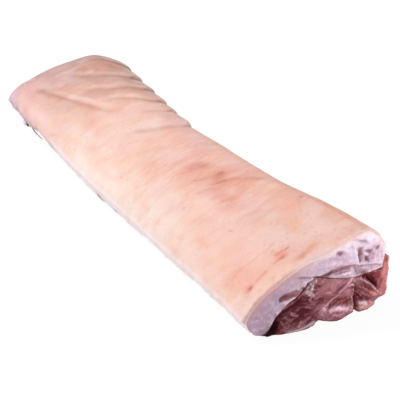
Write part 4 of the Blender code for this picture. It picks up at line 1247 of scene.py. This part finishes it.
CUT_LEAN_STROKES = {  # as for the fat
    "left grey foot": (((-38, 3.6), (-30, 5), (-20, 5.0), (-10, 4.6)), 2.4, (124, 78, 86), 0.55, 0.1),
    "left fleck": (((-28.4, 17), (-24.6, 15.4), (-21, 13.2)), 1.6, (152, 94, 110), 0.75, 0.1, 3),
    "left fleck two": (((-32.4, 13.6), (-30, 11.2)), 1.5, (136, 78, 88), 0.7, 0),
    "left fleck three": (((-23, 4.6), (-19.4, 6.8), (-17.6, 7.6)), 0.7, (186, 128, 140), 0.75, 0.1),
    "left fleck four": (((-36, 9), (-35, 5)), 1.0, (150, 104, 110), 0.6, 0),
    "left fleck five": (((-13, 8), (-9, 9.4)), 0.8, (160, 92, 102), 0.6, 0),
    "pale line": (((-15.6, 21.4), (-11, 19.8), (-6.4, 18.2)), 0.6, (146, 96, 100), 0.8, 0.2),
    "pale line two": (((-19, 26), (-12, 24), (-6, 23)), 0.5, (122, 68, 72), 0.6, 0.3),
    "pale line three": (((-24, 23), (-17, 21)), 0.5, (124, 70, 74), 0.6, 0.2),
    "pale line four": (((-8, 28.6), (-2, 28.4), (4, 28)), 0.6, (176, 112, 122), 0.6, 0.3),
    "eye's arc": (((5, 31), (9, 30.6), (13, 28)), 0.8, (206, 142, 148), 0.6, 0.3),
    "membrane": (((-5.4, 44.6), (-8.4, 41), (-11, 36.6), (-13.4, 32.6)), 3.2, (172, 134, 144), 0.80, 0.12, 3),
    "membrane's light": (((-4.8, 44), (-7.6, 40), (-9.6, 36)), 0.8, (214, 180, 188), 0.7, 0.2),
    "membrane's gap": (((-8.6, 43), (-11.6, 38.4), (-14, 34)), 0.7, (112, 66, 76), 0.65, 0.2),
    # painted highlights: small wet glints along the membrane
    "membrane's first painted glint": (((-13.6, 35.6), (-12.2, 37.4)), 0.9, (230, 204, 208), 0.85, 0),
    "membrane's second painted glint": (((-11.0, 33.0), (-9.8, 34.8)), 0.9, (230, 204, 208), 0.85, 0),
    "membrane's third painted glint": (((-8.0, 38.2), (-6.6, 40.2)), 0.9, (238, 214, 216), 0.85, 0),
    "membrane's fourth painted glint": (((-3.6, 43.4), (-2.2, 45.2)), 0.8, (214, 180, 186), 0.75, 0),
    "membrane's low fleck": (((-9.8, 30.0), (-8.6, 31.4)), 0.8, (196, 156, 164), 0.7, 0),
    "membrane's first speck": (((-11.8, 38.8), (-10.4, 40.2)), 0.7, (100, 66, 80), 0.75, 0),
    "membrane's second speck": (((-9.4, 36.0), (-8.2, 36.4)), 0.7, (108, 66, 78), 0.7, 0),
    "membrane's foot": (((-10, 34), (-7, 31.6)), 1.2, (150, 108, 116), 0.6, 0),
    "septum": (
        ((33.5, 35.5), (27, 30.8), (21, 26.6), (15, 23.2), (10, 19.4), (7, 15.6)), 1.1,
         (204, 142, 152), 0.85, 0.08),
    "septum's head": (((35, 36.4), (31.4, 33.6)), 1.6, (230, 170, 176), 0.8, 0),
    "septum's branch": (((30, 31.4), (34, 31), (36, 32.6)), 0.7, (214, 156, 166), 0.7, 0.1),
    "post": (((36.2, 29), (36.8, 22), (36.8, 15), (36.2, 10.5)), 0.9, (208, 150, 156), 0.85, 0.1),
    "lower rim": (
        ((9, 10.0), (14, 11.4), (21, 11.8), (27, 10.4), (31, 7.6)), 2.6, (232, 176, 196), 0.95, 0.12, 3),
    "lower rim's light": (((16, 12.0), (21, 12.4), (25, 11.4)), 1.2, (238, 208, 222), 0.8, 0.2),
    "foot": (((5, 8), (14, 7.6), (26, 5.6), (33, 5)), 2.6, (130, 68, 80), 0.75, 0.05),
    "foot's strand": (((12, 8), (18, 6.4), (27, 6.6)), 0.8, (206, 158, 172), 0.5, 0.2),
    "cleft": (((38.2, 28), (38.6, 20), (39.0, 14), (39.4, 8), (40.4, 2)), 1.7, (138, 60, 68), 0.95, 0.06, 4),
    "lobe fibre 1": (((39, 31), (47, 25.4), (57, 17.6)), 0.6, (176, 104, 110), 0.45),
    "lobe fibre 2": (((40, 27.6), (46, 23), (53, 18)), 0.7, (116, 44, 50), 0.65),
    "lobe fibre 3": (((42, 24), (48, 19.6), (54, 15.6)), 0.6, (170, 98, 104), 0.4, 0.2),
    "lobe fibre 4": (((40, 33.6), (47, 29.6), (55, 23.4)), 0.6, (124, 54, 60), 0.6, 0.2),
    # painted highlight on the lobe's right
    "lobe's right painted highlight": (((52, 20.6), (58, 17.6), (63.6, 15.6)), 1.3, (218, 136, 130), 0.7, 0.1),
    # painted shade in the pocket's hollow, darkest in the next stroke
    "pocket": (
        ((47, 36.6), (52.4, 35.6), (56.4, 30.6), (60, 25.6), (62.6, 22)), 2.5, (98, 24, 30), 0.95, 0.02, 4),
    "pocket's deep": (((53, 34), (56.6, 30), (61.6, 23.4)), 1.6, (58, 10, 16), 0.9, 0.05, 3),
    "pocket's red": (((59, 35.4), (64, 33), (65.4, 28)), 3.2, (144, 58, 58), 0.9, 0, 4),
    "pocket's top shade": (((49, 38), (57, 38.6), (66, 38)), 0.9, (116, 46, 50), 0.75, 0.1),
    "pocket ridge": (
        ((43.6, 36), (50, 31.4), (56, 26.6), (61, 21.2), (64, 17.4)), 1.15, (204, 154, 168), 0.9, 0.04, 3),
    "flap": (((70.4, 52), (71, 43), (70.6, 34), (69.4, 26), (68, 18)), 3.4, (214, 128, 130), 0.9, 0, 4),
    "flap's rim": (((74.2, 48), (75.2, 38), (74.2, 26), (72.2, 17)), 1.1, (180, 126, 134), 0.75, 0.05),
    "flap's pale lip": (((71.8, 52.6), (72.4, 45)), 0.9, (250, 206, 186), 0.8, 0.1),
    "flap's brown hollow": (((69.6, 51.8), (69.8, 47.4)), 1.1, (134, 70, 54), 0.85, 0),
    "flap's inner streak": (((64.4, 30), (65.4, 22)), 0.9, (184, 112, 120), 0.7, 0.1),
    "flap's fold": (((67.6, 30), (66, 24), (63.6, 19)), 0.7, (118, 48, 54), 0.7),
    # painted shadow in the gap under the overhanging fat, darkest in the next stroke
    "under the cap": (
        ((-47, 5), (-42, 11.8), (-36, 17.8), (-30, 22.4), (-24, 25.4), (-17, 29.4)), 2.4,
         (64, 22, 30), 0.75, 0.03, 3),
    "darkest under the cap": (
        ((-36, 19.6), (-30, 23.8), (-24, 26.4), (-18, 30)), 1.1, (44, 10, 16), 0.7, 0.1),
    # painted shadow at the foot, under the fat's tip
    "painted shadow at the foot": (((-53, 0), (-47, 3), (-43, 8)), 4.2, (36, 8, 12), 0.98, 0, 4),
    "bottom grey": (((-36, 1.0), (-26, 1.2), (-16, 2.2), (-8, 4.0), (-3, 6)), 1.1, (196, 170, 178), 0.75),
    # painted shade along the cut's bottom edge, here and in the next stroke
    "bottom edge": (
        ((-40, -0.4), (-26, -0.4), (-14, -0.2), (-6, 1.8), (0, 4.2)), 1.1, (58, 30, 38), 0.9, 0.05),
    "foot's edge": (((0, 4.2), (9, 2.0), (20, -0.2), (28, 1.2), (38, 2.4)), 1.0, (84, 50, 56), 0.85, 0.05),
    "above the ball": (((40, 15.2), (44, 15.0), (50, 14.2), (56, 13)), 0.9, (112, 44, 52), 0.8, 0.1),
    # painted shade under the ball
    "under the ball": (((41.6, 3.0), (47, 1.8), (55, 2.8)), 1.5, (104, 48, 52), 0.85, 0.1, 3),
}


def paint_cut_lean(y, z):
    """The lean's tone on the detailed cut face."""
    y, z = wandering(y, z)
    flat = on_cut(y, z)
    grain = on_cut(y + 2.0 * z, z - 0.42 * y)
    steep = on_cut(y - 1.4 * z, z + 0.66 * y)
    tone = with_dabs(plain(LEAN_RED, len(y)), y, z, CUT_LEAN_DABS)
    by_grain = noise_sum(grain, (1, (1, 13, 1.5), 5.0), (0.8, (1, 6, 0.9), 6.0))
    by_steep = noise_sum(steep, (1, (1, 11, 1.4), 15.0), (0.8, (1, 6, 0.9), 16.0))
    fibre = np.where(y < LOBE_FROM, by_grain, by_steep) + 0.5 * noise(flat, (1, 2.4, 2.0), 2.0)
    tone = two_way(tone, fibre, (LEAN_DARK, 0.50), (LEAN_PINK, 0.34))
    marbling = np.abs(noise(grain, (1, 15, 3.4), 9.0)) + ease(y, -8, -22)
    tone = mixed(tone, MARBLE, 0.45 * ease(marbling, 0.07, 0.0) * ease(noise(flat, (1, 9, 7), 7.0), 0.0, 0.5))
    tone = with_strokes(tone, y, z, CUT_LEAN_STROKES, 1 - 0.18 * np.clip(fibre, -1, 1))
    # Painted highlights: small wet glints in the glint places, with darker specks among them.
    glint = ease(noise_sum(flat, (1, (1, 1.9, 1.5), 22.0), (0.4, (1, 5, 4), 27.0)), 0.35, 0.85)
    grime = ease(noise_sum(flat, (1, (1, 2.1, 1.7), 32.0), (0.4, (1, 5, 4), 37.0)), 0.35, 0.85)
    near_glints = np.max([dab(y, z, *place) for place in GLINT_PLACES.values()], axis=0)
    tone = layered(tone, (LEAN_DARK, 0.40 * grime * near_glints), (GLINT, 0.60 * glint * near_glints))
    return tone / CUT_LIGHT


SEAM_RED = (92, 42, 52)
SILVERSKIN = (208, 172, 178)
WALL_MAUVE = (184, 152, 166)
SIDE_FAT = (222, 196, 204)
SIDE_FAT_DARK = (190, 156, 168)
SIDE_FAT_PALE = (242, 224, 228)
LEAN_TRACE = (168, 104, 112)
LOW_FAT = (150, 116, 126)
SIDE_LEAN = (148, 80, 86)
SIDE_LEAN_DARK = (122, 58, 64)
SIDE_LEAN_PALE = (172, 104, 110)
SIDE_FIBRE_DARK = (104, 46, 54)
SIDE_FIBRE_PALE = (188, 124, 130)
TISSUE_WHITE = (230, 204, 208)
WALL_DABS = {  # centre in space, radii, colour, strength
    # painted shade in the gap beside the bead
    "painted shade in the gap by the bead": ((-245, -87, 15), (5, 8, 8), (92, 52, 64), 0.95),
    "far end's edge": ((-292, -88, 18), (12, 10, 8), (170, 154, 160), 0.6),
    "shade by the strand": ((-215, -84, 16), (22, 8, 6), (150, 114, 128), 0.7),
    "line by the middle strand": ((-18, -82, 14), (8, 6, 5), (150, 122, 136), 0.7),
}


def paint_side_fat(points, from_rind):
    """The tone of the cap's cut walls and far face: fat, with the skin's edge along the rind."""
    y, z = points[:, 1], points[:, 2]
    tone = plain(SIDE_FAT, len(points))
    tone = two_way(tone, rough(points, (18, 7, 5), 6.6), (SIDE_FAT_DARK, 0.55), (SIDE_FAT_PALE, 0.5))
    lean_trace = ease(np.abs(noise(points, (70, 30, 9), 1.7)), 0.10, 0.02)
    return layered(
        tone,
        (LEAN_TRACE, 0.55 * lean_trace * ease(noise(points, (40, 20, 9), 8.2), 0.0, 0.4)),
        (LOW_FAT, 0.6 * (ease(z, 5.5, 1.0) * ease(y, -40, -50))),
        (SKIN_EDGE, 0.6 * ease(from_rind + 1.6 * rough(points, (14, 8, 8), 46.0), 4.0, 1.0)),
    )


def paint_belly_wall(tone, points, share):
    """The belly wall's pale upper part, its mauve lower part and its dark gaps."""
    x = points[:, 0]
    uneven = 0.16 * rough(points, (16, 12, 12), 44.0)
    near = ease(x, -170, -110)
    tone = layered(
        tone,
        (BELLY_RIM, 0.75 * ease(share + uneven, 0.40, 0.60) * near),
        (WALL_MAUVE, 0.75 * ease(share + uneven, 0.46, 0.30)),
        (WALL_MAUVE, 0.6 * ease(x, -110, -190)),
        (CREAM, 0.8 * ease(share + 1.2 * uneven, 0.84, 0.96) * near),
    )
    for centre, radii, colour, strength in WALL_DABS.values():
        tone = mixed(tone, colour, strength * bell(np.linalg.norm((points - centre) / radii, axis=1), 1.0))
    return tone


def paint_side_lean(points):
    """The tone of the lean's sides and underside."""
    x, y, z = points.T
    fibre = noise_sum(points, (1, (30, 2.4, 2.2), 5.1), (0.6, (14, 1.6, 1.5), 5.6))
    tone = plain(SIDE_LEAN, len(points))
    tone = two_way(tone, rough(points, (70, 20, 14), 2.4), (SIDE_LEAN_DARK, 0.6), (SIDE_LEAN_PALE, 0.5))
    tone = two_way(tone, fibre, (SIDE_FIBRE_DARK, 0.35), (SIDE_FIBRE_PALE, 0.35))
    veil = ease(rough(points, (90, 22, 16), 13.0) + 0.25 * fibre, 0.0, 1.0)
    strings = ease(np.abs(noise(points, (85, 15, 9), 17.0)), 0.07, 0.0)
    strings *= ease(noise(points, (50, 30, 20), 19.0), -0.2, 0.4)
    rib = np.clip(np.cos(x / RIB_PITCH * 2 * np.pi + 0.5 * noise(points, (30, 20, 9), 3.0)), 0, 1)
    return layered(
        tone,
        (SILVERSKIN, 0.60 * veil),
        (TISSUE_WHITE, 0.65 * strings),
        (SILVERSKIN, 0.55 * ease(z, 5.0, 3.0) * rib * ease(y, -40, -10)),
    )


# ---------------------------------------------------------------- the far cut's marks
FAR_LEAN = (132, 62, 70)
FAR_LEAN_DABS = {  # as for the near cut
    "eye": ((-2, 23), (38, 19), 0, (142, 66, 76), 0.8, 4),
    "eye's heart": ((4, 21), (20, 9), 10, (122, 48, 58), 0.6),
    "eye's pale top": ((8, 38), (26, 5), -4, (168, 98, 106), 0.6),
    "chine muscle": ((56, 14), (13, 12), 0, (112, 42, 50), 0.85, 4),
    "flank strip": ((-50, 6), (9, 6), 20, (104, 38, 46), 0.75),
}
FAR_LEAN_STROKES = {  # as for the near cut
    "chine septum": (((33, 41), (39, 32), (42, 20), (40, 9), (43, 1)), 1.2, (216, 172, 180), 0.85, 0.05),
    "chine septum's fat": (((34, 41), (38, 34)), 2.6, (226, 190, 196), 0.85, 0.05, 3),
    "its branch": (((42, 20), (52, 22), (64, 23)), 0.9, (200, 148, 156), 0.7, 0.1),
    "flank septum": (((-41, 27), (-39, 18), (-43, 9), (-41, 1)), 1.1, (208, 160, 170), 0.8, 0.08),
    "flank septum's fat": (((-42, 26), (-40, 20)), 2.2, (222, 186, 194), 0.8, 0.1, 3),
    "eye's vein": (((-26, 30), (-12, 27), (2, 30), (16, 27)), 0.9, (196, 138, 148), 0.6, 0.3),
    "eye's second vein": (((-18, 14), (-4, 16), (10, 12), (24, 14)), 0.9, (190, 130, 140), 0.55, 0.3),
    "eye's third vein": (((8, 42), (12, 34), (10, 27)), 0.9, (200, 144, 152), 0.6, 0.2),
    "marbling knot": (((14, 20), (18, 22)), 1.4, (214, 170, 178), 0.75, 0),
    "marbling knot two": (((-14, 21), (-10, 20)), 1.2, (208, 160, 168), 0.7, 0),
    "shade under the fat": (
        ((-58, 4), (-46, 21), (-30, 32), (-10, 42.5), (14, 44.5), (38, 38), (62, 26)), 1.4,
         (92, 36, 46), 0.5, 0.05),
}
FAR_FAT_STROKES = {
    "thin lean": (
        ((-74, 16), (-60, 30), (-42, 42), (-20, 52), (4, 57), (28, 55)), 1.2, (172, 112, 122), 0.75),
    "its thick part": (((-38, 44), (-24, 50.4), (-8, 55)), 1.9, (146, 80, 90), 0.85, 0.15, 3),
    "layer line": (((-24, 59), (4, 64), (30, 60), (50, 47)), 0.9, (184, 148, 162), 0.6, 0.2),
}


def paint_far_cut(tone, y, z, dabs, strokes, dark_grain):
    """Draws a far cut's muscles and seams over its plain tone."""
    flat = on_cut(y, z)
    y, z = wandering(y, z)
    tone = with_dabs(tone, y, z, dabs)
    grain = noise_sum(flat, (1, (1, 2.6, 2.4), 21.0), (0.6, (1, 7, 5), 23.0))
    tone = two_way(tone, grain, (LEAN_DARK, dark_grain), (MARBLE, 0.20))
    return with_strokes(tone, y, z, strokes)


# ---------------------------------------------------------------- the two large pieces
RIND_WET = 0.35
SHINE_SPAN = (0.02, 0.14)  # tones between which the shine begins and is full
WALL_HEIGHT = 26.0  # mm from the rind to the seam, about
INSIDE_FAT = 9.0  # mm from the rind that fat away from its edge counts as


def shine_of(tone):
    """How much a place shines: the deep gaps, which are painted dark with painted shade, hardly do."""
    return ease(tone.mean(axis=1), *SHINE_SPAN)


def paint_cap(shape):
    """Gives the cap's shape its tone, and how fatty and how wet it is."""
    points, part, share = shape["flat"], shape["part"], shape["share"]
    rind, chine, seam, belly, near, far = (part == number for number in range(6))
    tone = np.zeros((len(points), 3))
    tone[rind] = paint_rind(shape["x"][rind], share[rind])
    tone[near] = paint_cut_fat(points[near, 1], points[near, 2])
    from_rind = np.full(len(points), INSIDE_FAT)
    from_rind[chine] = share[chine] * WALL_HEIGHT
    from_rind[belly] = (1 - share[belly]) * WALL_HEIGHT
    sides = ~(rind | near)
    tone[sides] = paint_side_fat(points[sides], from_rind[sides])
    tone[belly] = paint_belly_wall(tone[belly], points[belly], share[belly])
    tone[far] = paint_far_cut(tone[far], points[far, 1], points[far, 2], {}, FAR_FAT_STROKES, 0)
    tone[seam] = mixed(tone[seam], SEAM_RED, 0.9 * ease(points[seam, 0], NEAR_X - 30, NEAR_X - 6))
    shape["tone"] = tone
    shape["fatty"] = np.where(rind, 0.0, 1.0)
    shape["wet"] = np.where(rind, RIND_WET, shine_of(tone))


CUT_TONE_REACH = 6.0  # mm behind the cut over which the sides take on its tone


def paint_lean(shape):
    """Gives the lean's shape its tone, and how wet it is."""
    points, part = shape["flat"], shape["part"]
    x, y, z = points.T
    near, far = part == NEAR_FACE, part == FAR_FACE
    tone = paint_side_lean(points)
    front = near | (x > NEAR_X - CUT_TONE_REACH)
    weight = np.where(near, 1.0, ease(x, NEAR_X - CUT_TONE_REACH, NEAR_X - 0.5))[front, None]
    tone[front] = tone[front] * (1 - weight) + paint_cut_lean(y[front], z[front]) * weight
    muscle = plain(FAR_LEAN, far.sum())
    tone[far] = paint_far_cut(muscle, y[far], z[far], FAR_LEAN_DABS, FAR_LEAN_STROKES, 0.22)
    shape["tone"] = tone
    shape["wet"] = shine_of(tone)


# ---------------------------------------------------------------- materials
def set_inputs(node, inputs):
    """Sets a node's inputs, each to a value or to another node's output."""
    for key, value in inputs.items():
        if isinstance(value, bpy.types.NodeSocket):
            node.id_data.links.new(value, node.inputs[key])
        else:
            node.inputs[key].default_value = value


def new_material(name):
    """A material, its shader, and a short way to add nodes to it."""
    material = bpy.data.materials.new(name)
    material.use_nodes = True
    nodes = material.node_tree.nodes

    def add(kind, inputs=None, output=0, **settings):
        """Makes a node and gives one of its outputs."""
        node = nodes.new(kind)
        for key, value in settings.items():
            setattr(node, key, value)
        set_inputs(node, inputs or {})
        return node.outputs[output]

    return material, nodes["Principled BSDF"], add


def grain_of(add, places, scale, detail, roughness=0.5):
    """A noise of the material's places."""
    inputs = {"Vector": places, "Scale": scale, "Detail": detail, "Roughness": roughness}
    return add("ShaderNodeTexNoise", inputs)


def in_range(add, value, low, high, start=0.0, stop=1.0):
    """A value from start to stop brought to the range from low to high."""
    inputs = {"Value": value, "From Min": start, "From Max": stop, "To Min": low, "To Max": high}
    return add("ShaderNodeMapRange", inputs)


TINT_ROUGHNESS = 0.6
TINT_SPAN = (0.3, 0.7)  # the noise's values that the tint's range is spread over


def tinted(add, tone, places, low, high, scale, detail, stretch=None):
    """The painted tone made a little darker and lighter by noise."""
    if stretch:
        places = add("ShaderNodeMapping", {"Vector": places, "Scale": stretch})
    grain = grain_of(add, places, scale, detail, TINT_ROUGHNESS)
    share = in_range(add, grain, low, high, *TINT_SPAN)
    return add("ShaderNodeVectorMath", {0: tone, "Scale": share}, operation="SCALE")


def skin_surface(add, places):
    """Skin with pores and wrinkles, and smoother, lumpy fat where the mesh is fatty."""
    fatty = add("ShaderNodeAttribute", output="Fac", attribute_name="fatty")
    uneven = grain_of(add, places, 160.0, 3.0)
    skin_rough = in_range(add, uneven, 0.44, 0.62)
    fat_rough = in_range(add, uneven, 0.28, 0.46)
    roughness = add("ShaderNodeMix", {0: fatty, 2: skin_rough, 3: fat_rough}, data_type="FLOAT")
    pores = add("ShaderNodeTexVoronoi", {"Vector": places, "Scale": 700.0}, "Distance", feature="F1")
    wrinkles = grain_of(add, places, 320.0, 4.0)
    skin_bump = add("ShaderNodeMath", {0: pores, 1: wrinkles}, operation="ADD")
    lumps = grain_of(add, places, 330.0, 5.0)
    height = add("ShaderNodeMix", {0: fatty, 2: skin_bump, 3: lumps}, data_type="FLOAT")
    return roughness, add("ShaderNodeBump", {"Height": height, "Strength": 0.35, "Distance": 0.0006})


def lean_surface(add, places):
    """Wet muscle with fine bumps."""
    roughness = in_range(add, grain_of(add, places, 300.0, 3.0), 0.24, 0.5)
    fibres = grain_of(add, places, 600.0, 5.0)
    return roughness, add("ShaderNodeBump", {"Height": fibres, "Strength": 0.5, "Distance": 0.0008})


MEAT = {  # tints as tinted takes them, surface, least shine, and the weight, radius and scale of light within
    "skin and fat": (((0.965, 1.03, 420, 4), (0.975, 1.02, 90, 3, (1.0, 0.25, 0.6))), skin_surface, 0.1,
                     (0.18, (1.0, 0.45, 0.3), 0.0018)),
    "wet lean": (((0.86, 1.14, 520, 5), (0.9, 1.1, 260, 4, (0.5, 1.0, 1.0))), lean_surface, 0.05,
                 (0.12, (1.0, 0.35, 0.3), 0.0015)),
}
MOST_SHINE = 0.6
MEAT_IOR = 1.42


def meat(name):
    """A material of the table, over the mesh's painted tone and its wetness."""
    tints, surface, least_shine, (light_weight, light_radius, light_scale) = MEAT[name]
    material, shader, add = new_material(name)
    places = add("ShaderNodeTexCoord", output="Object")
    colour = add("ShaderNodeAttribute", output="Color", attribute_name="tone")
    for tint in tints:
        colour = tinted(add, colour, places, *tint)
    roughness, bump = surface(add, places)
    wet = add("ShaderNodeAttribute", output="Fac", attribute_name="wet")
    set_inputs(shader, {
        "Base Color": colour,
        "Roughness": roughness,
        "Normal": bump,
        "Specular IOR Level": in_range(add, wet, least_shine, MOST_SHINE),
        "Subsurface Weight": light_weight,
        "Subsurface Radius": light_radius,
        "Subsurface Scale": light_scale,
        "IOR": MEAT_IOR,
    })
    return material


# ---------------------------------------------------------------- loose tissue on the belly side
TUBE_SIDES = 10
TUBE_RINGS = 60
TUBE_END = 0.05  # mm
TISSUE_RED = (196, 132, 142)
BEAD_AROUND = 28
BEAD_DOWN = 17
BEADS = {  # centre, radii, tone
    "tissue_bead": ((-252.6, -88.2, 13.2), (5.0, 3.4, 3.9), (252, 236, 240)),
    # The dark lump in the middle stands in the gap beside the bead, as painted shade there.
    "tissue_gap_shade": ((-245.6, -87.2, 13.0), (2.6, 1.9, 2.6), (92, 52, 66)),
    "tissue_bead_small": ((-239.6, -86.6, 14.0), (3.6, 2.0, 2.2), (244, 206, 208)),
}
STRANDS = {  # path, thickness in the middle, tone
    "tissue_strand": (
        ((-240, -86.5, 14.5), (-235.6, -85.6, 12.8), (-229.5, -85.2, 10), (-215, -84.6, 8.8),
         (-200, -84.2, 9.4)), 0.85, (214, 184, 194)),
    "tissue_strand_middle": (
        ((-27.5, -85.4, 15), (-24.4, -84.8, 11), (-17.6, -84, 9), (-9.5, -83.2, 8.8), (-3, -81, 10)),
        0.8, (240, 222, 226)),
}


def bead(centre, radii, tone):
    """A small lump, uneven like cut tissue."""
    around = np.linspace(0, 2 * np.pi, BEAD_AROUND + 1)[:-1]
    down = np.linspace(0, np.pi, BEAD_DOWN)
    a, d = np.meshgrid(around, down)
    unit = np.stack([np.sin(d) * np.cos(a), np.sin(d) * np.sin(a), np.cos(d)], axis=-1).reshape(-1, 3)
    uneven = 1 + 0.16 * noise(unit, (0.9, 0.9, 0.9), centre[0]) + 0.07 * noise(unit, (0.4, 0.4, 0.4), 3.0)
    points = np.array(centre) + unit * uneven[:, None] * radii
    return grid_shape(points, len(down), len(around), tone)


def unit_vectors(vectors):
    """The vectors at a length of 1."""
    return vectors / np.linalg.norm(vectors, axis=1, keepdims=True)


def strand(path, thickness, tone):
    """A thin string of tissue along a path, tapering to its ends."""
    line = catmull_rom(path, np.linspace(0, len(path) - 1, TUBE_RINGS))
    along = unit_vectors(np.gradient(line, axis=0))
    side = unit_vectors(np.cross(along, (0, 0, 1.0)))
    up = np.cross(side, along)
    angle = np.linspace(0, 2 * np.pi, TUBE_SIDES + 1)[:-1]
    share = np.linspace(0, 1, len(line))
    radius = thickness * (0.35 + 0.65 * np.sin(np.pi * share)) * (1 + 0.3 * noise(line, (4, 4, 4), 2.0))
    radius[[0, -1]] = TUBE_END
    ring = np.cos(angle)[None, :, None] * side[:, None] + np.sin(angle)[None, :, None] * up[:, None]
    points = line[:, None] + radius[:, None, None] * ring
    return grid_shape(points.reshape(-1, 3), len(line), TUBE_SIDES, tone)


def grid_shape(points, rows, columns, tone):
    """A shape of rows of points that each close round, with its tone a little uneven."""
    numbers = np.arange(rows * columns).reshape(rows, columns)
    following = np.roll(numbers, -1, axis=1)
    sides = np.stack([numbers[:-1], numbers[1:], following[1:], following[:-1]], axis=-1)
    faces = sides.reshape(-1, 4).tolist() + [numbers[0].tolist(), numbers[-1, ::-1].tolist()]
    uneven = np.clip(noise(points, (2.5, 2.5, 2.5), 6.0), 0, 1)
    painted = mixed(plain(tone, len(points)), TISSUE_RED, 0.4 * uneven)
    return {"points": points, "faces": faces, "tone": painted, "fatty": np.ones(len(points)),
            "wet": np.ones(len(points))}


# ---------------------------------------------------------------- floor, light and camera
FLOOR_HALF = 6.0
FLOOR_BELOW = 0.0002
FLOOR_LOOK = {"Base Color": (0.08, 0.08, 0.08, 1), "Emission Color": (1, 1, 1, 1), "Emission Strength": 0.94,
              "Roughness": 0.9, "Specular IOR Level": 0.1}
SKY = {"Color": (0.96, 0.975, 1.0, 1), "Strength": 0.42}
LIGHTS = {  # place and aim in metres, width, watts, colour
    "key": ((-1.2, -1.2, 2.46), (0, 0, 0.03), 0.9, 60, (1.0, 0.985, 0.965)),
    "front fill": ((0.78, 0.34, 0.17), (0.3, 0.02, 0.04), 0.3, 1.5, (1.0, 0.99, 0.99)),
}
CAMERA_AT = np.array([1210.45, -548.75, 608.72])
CAMERA_LOOKS_AT = np.array([77.13, -11.34, 32.08])
FOCAL_SHARE = 1348.81 / 400  # focal length in widths of the picture
SENSOR = 36.0
CLIP_END = 50


def in_scene(name, data, place, direction=None):
    """An object in the scene at a place, looking along a direction if there is one."""
    made = bpy.data.objects.new(name, data)
    bpy.context.scene.collection.objects.link(made)
    made.location = place
    if direction is not None:
        made.rotation_mode = "QUATERNION"
        made.rotation_quaternion = direction.to_track_quat("-Z", "Y")
    return made


def plain_floor():
    """The pale floor of the photograph, wide enough to fill it."""
    half = FLOOR_HALF
    corners = [(-half, -half, 0), (half, -half, 0), (half, half, 0), (-half, half, 0)]
    mesh = bpy.data.meshes.new("floor")
    mesh.from_pydata(corners, [], [(0, 1, 2, 3)])
    material, shader, _ = new_material("pale floor")
    set_inputs(shader, FLOOR_LOOK)
    mesh.materials.append(material)
    floor = in_scene("floor", mesh, (0, 0, -FLOOR_BELOW))


def lights():
    """A soft sky and the table's round lamps."""
    world = bpy.data.worlds.new("studio")
    world.use_nodes = True
    set_inputs(world.node_tree.nodes["Background"], SKY)
    bpy.context.scene.world = world
    for name, (place, aim, width, watts, colour) in LIGHTS.items():
        light = bpy.data.lights.new(name, "AREA")
        light.shape = "DISK"
        light.size = width
        light.energy = watts
        light.color = colour
        in_scene(name, light, place, Vector(aim) - Vector(place))


def camera():
    """The camera fitted to the photograph."""
    data = bpy.data.cameras.new("camera")
    data.sensor_width = SENSOR
    data.lens = FOCAL_SHARE * SENSOR
    data.clip_end = CLIP_END
    place = MM * (CAMERA_AT + CENTRE)
    bpy.context.scene.camera = in_scene("camera", data, place, Vector(CAMERA_LOOKS_AT - CAMERA_AT))


def main():
    """Builds and paints the two large pieces, the loose tissue, and the stage."""
    cap = loft(cap_stations(), cap_rows, CAP_FACE, CAP_FAR_FACE, warp_cap)
    paint_cap(cap)
    fat = meat("skin and fat")
    make_piece("rind_and_fat", cap, fat, "fat_cap_with_rind")
    for maker, table in ((bead, BEADS), (strand, STRANDS)):
        for name, sizes in table.items():
            make_piece(name, maker(*sizes), fat)
    lean = loft(lean_stations(), lean_rows, LEAN_FACE, LEAN_FAR_FACE, warp_lean)
    paint_lean(lean)
    make_piece("lean", lean, meat("wet lean"), "lean_meat")
    plain_floor()
    lights()
    camera()
    bpy.context.scene.view_settings.view_transform = "Standard"


main()
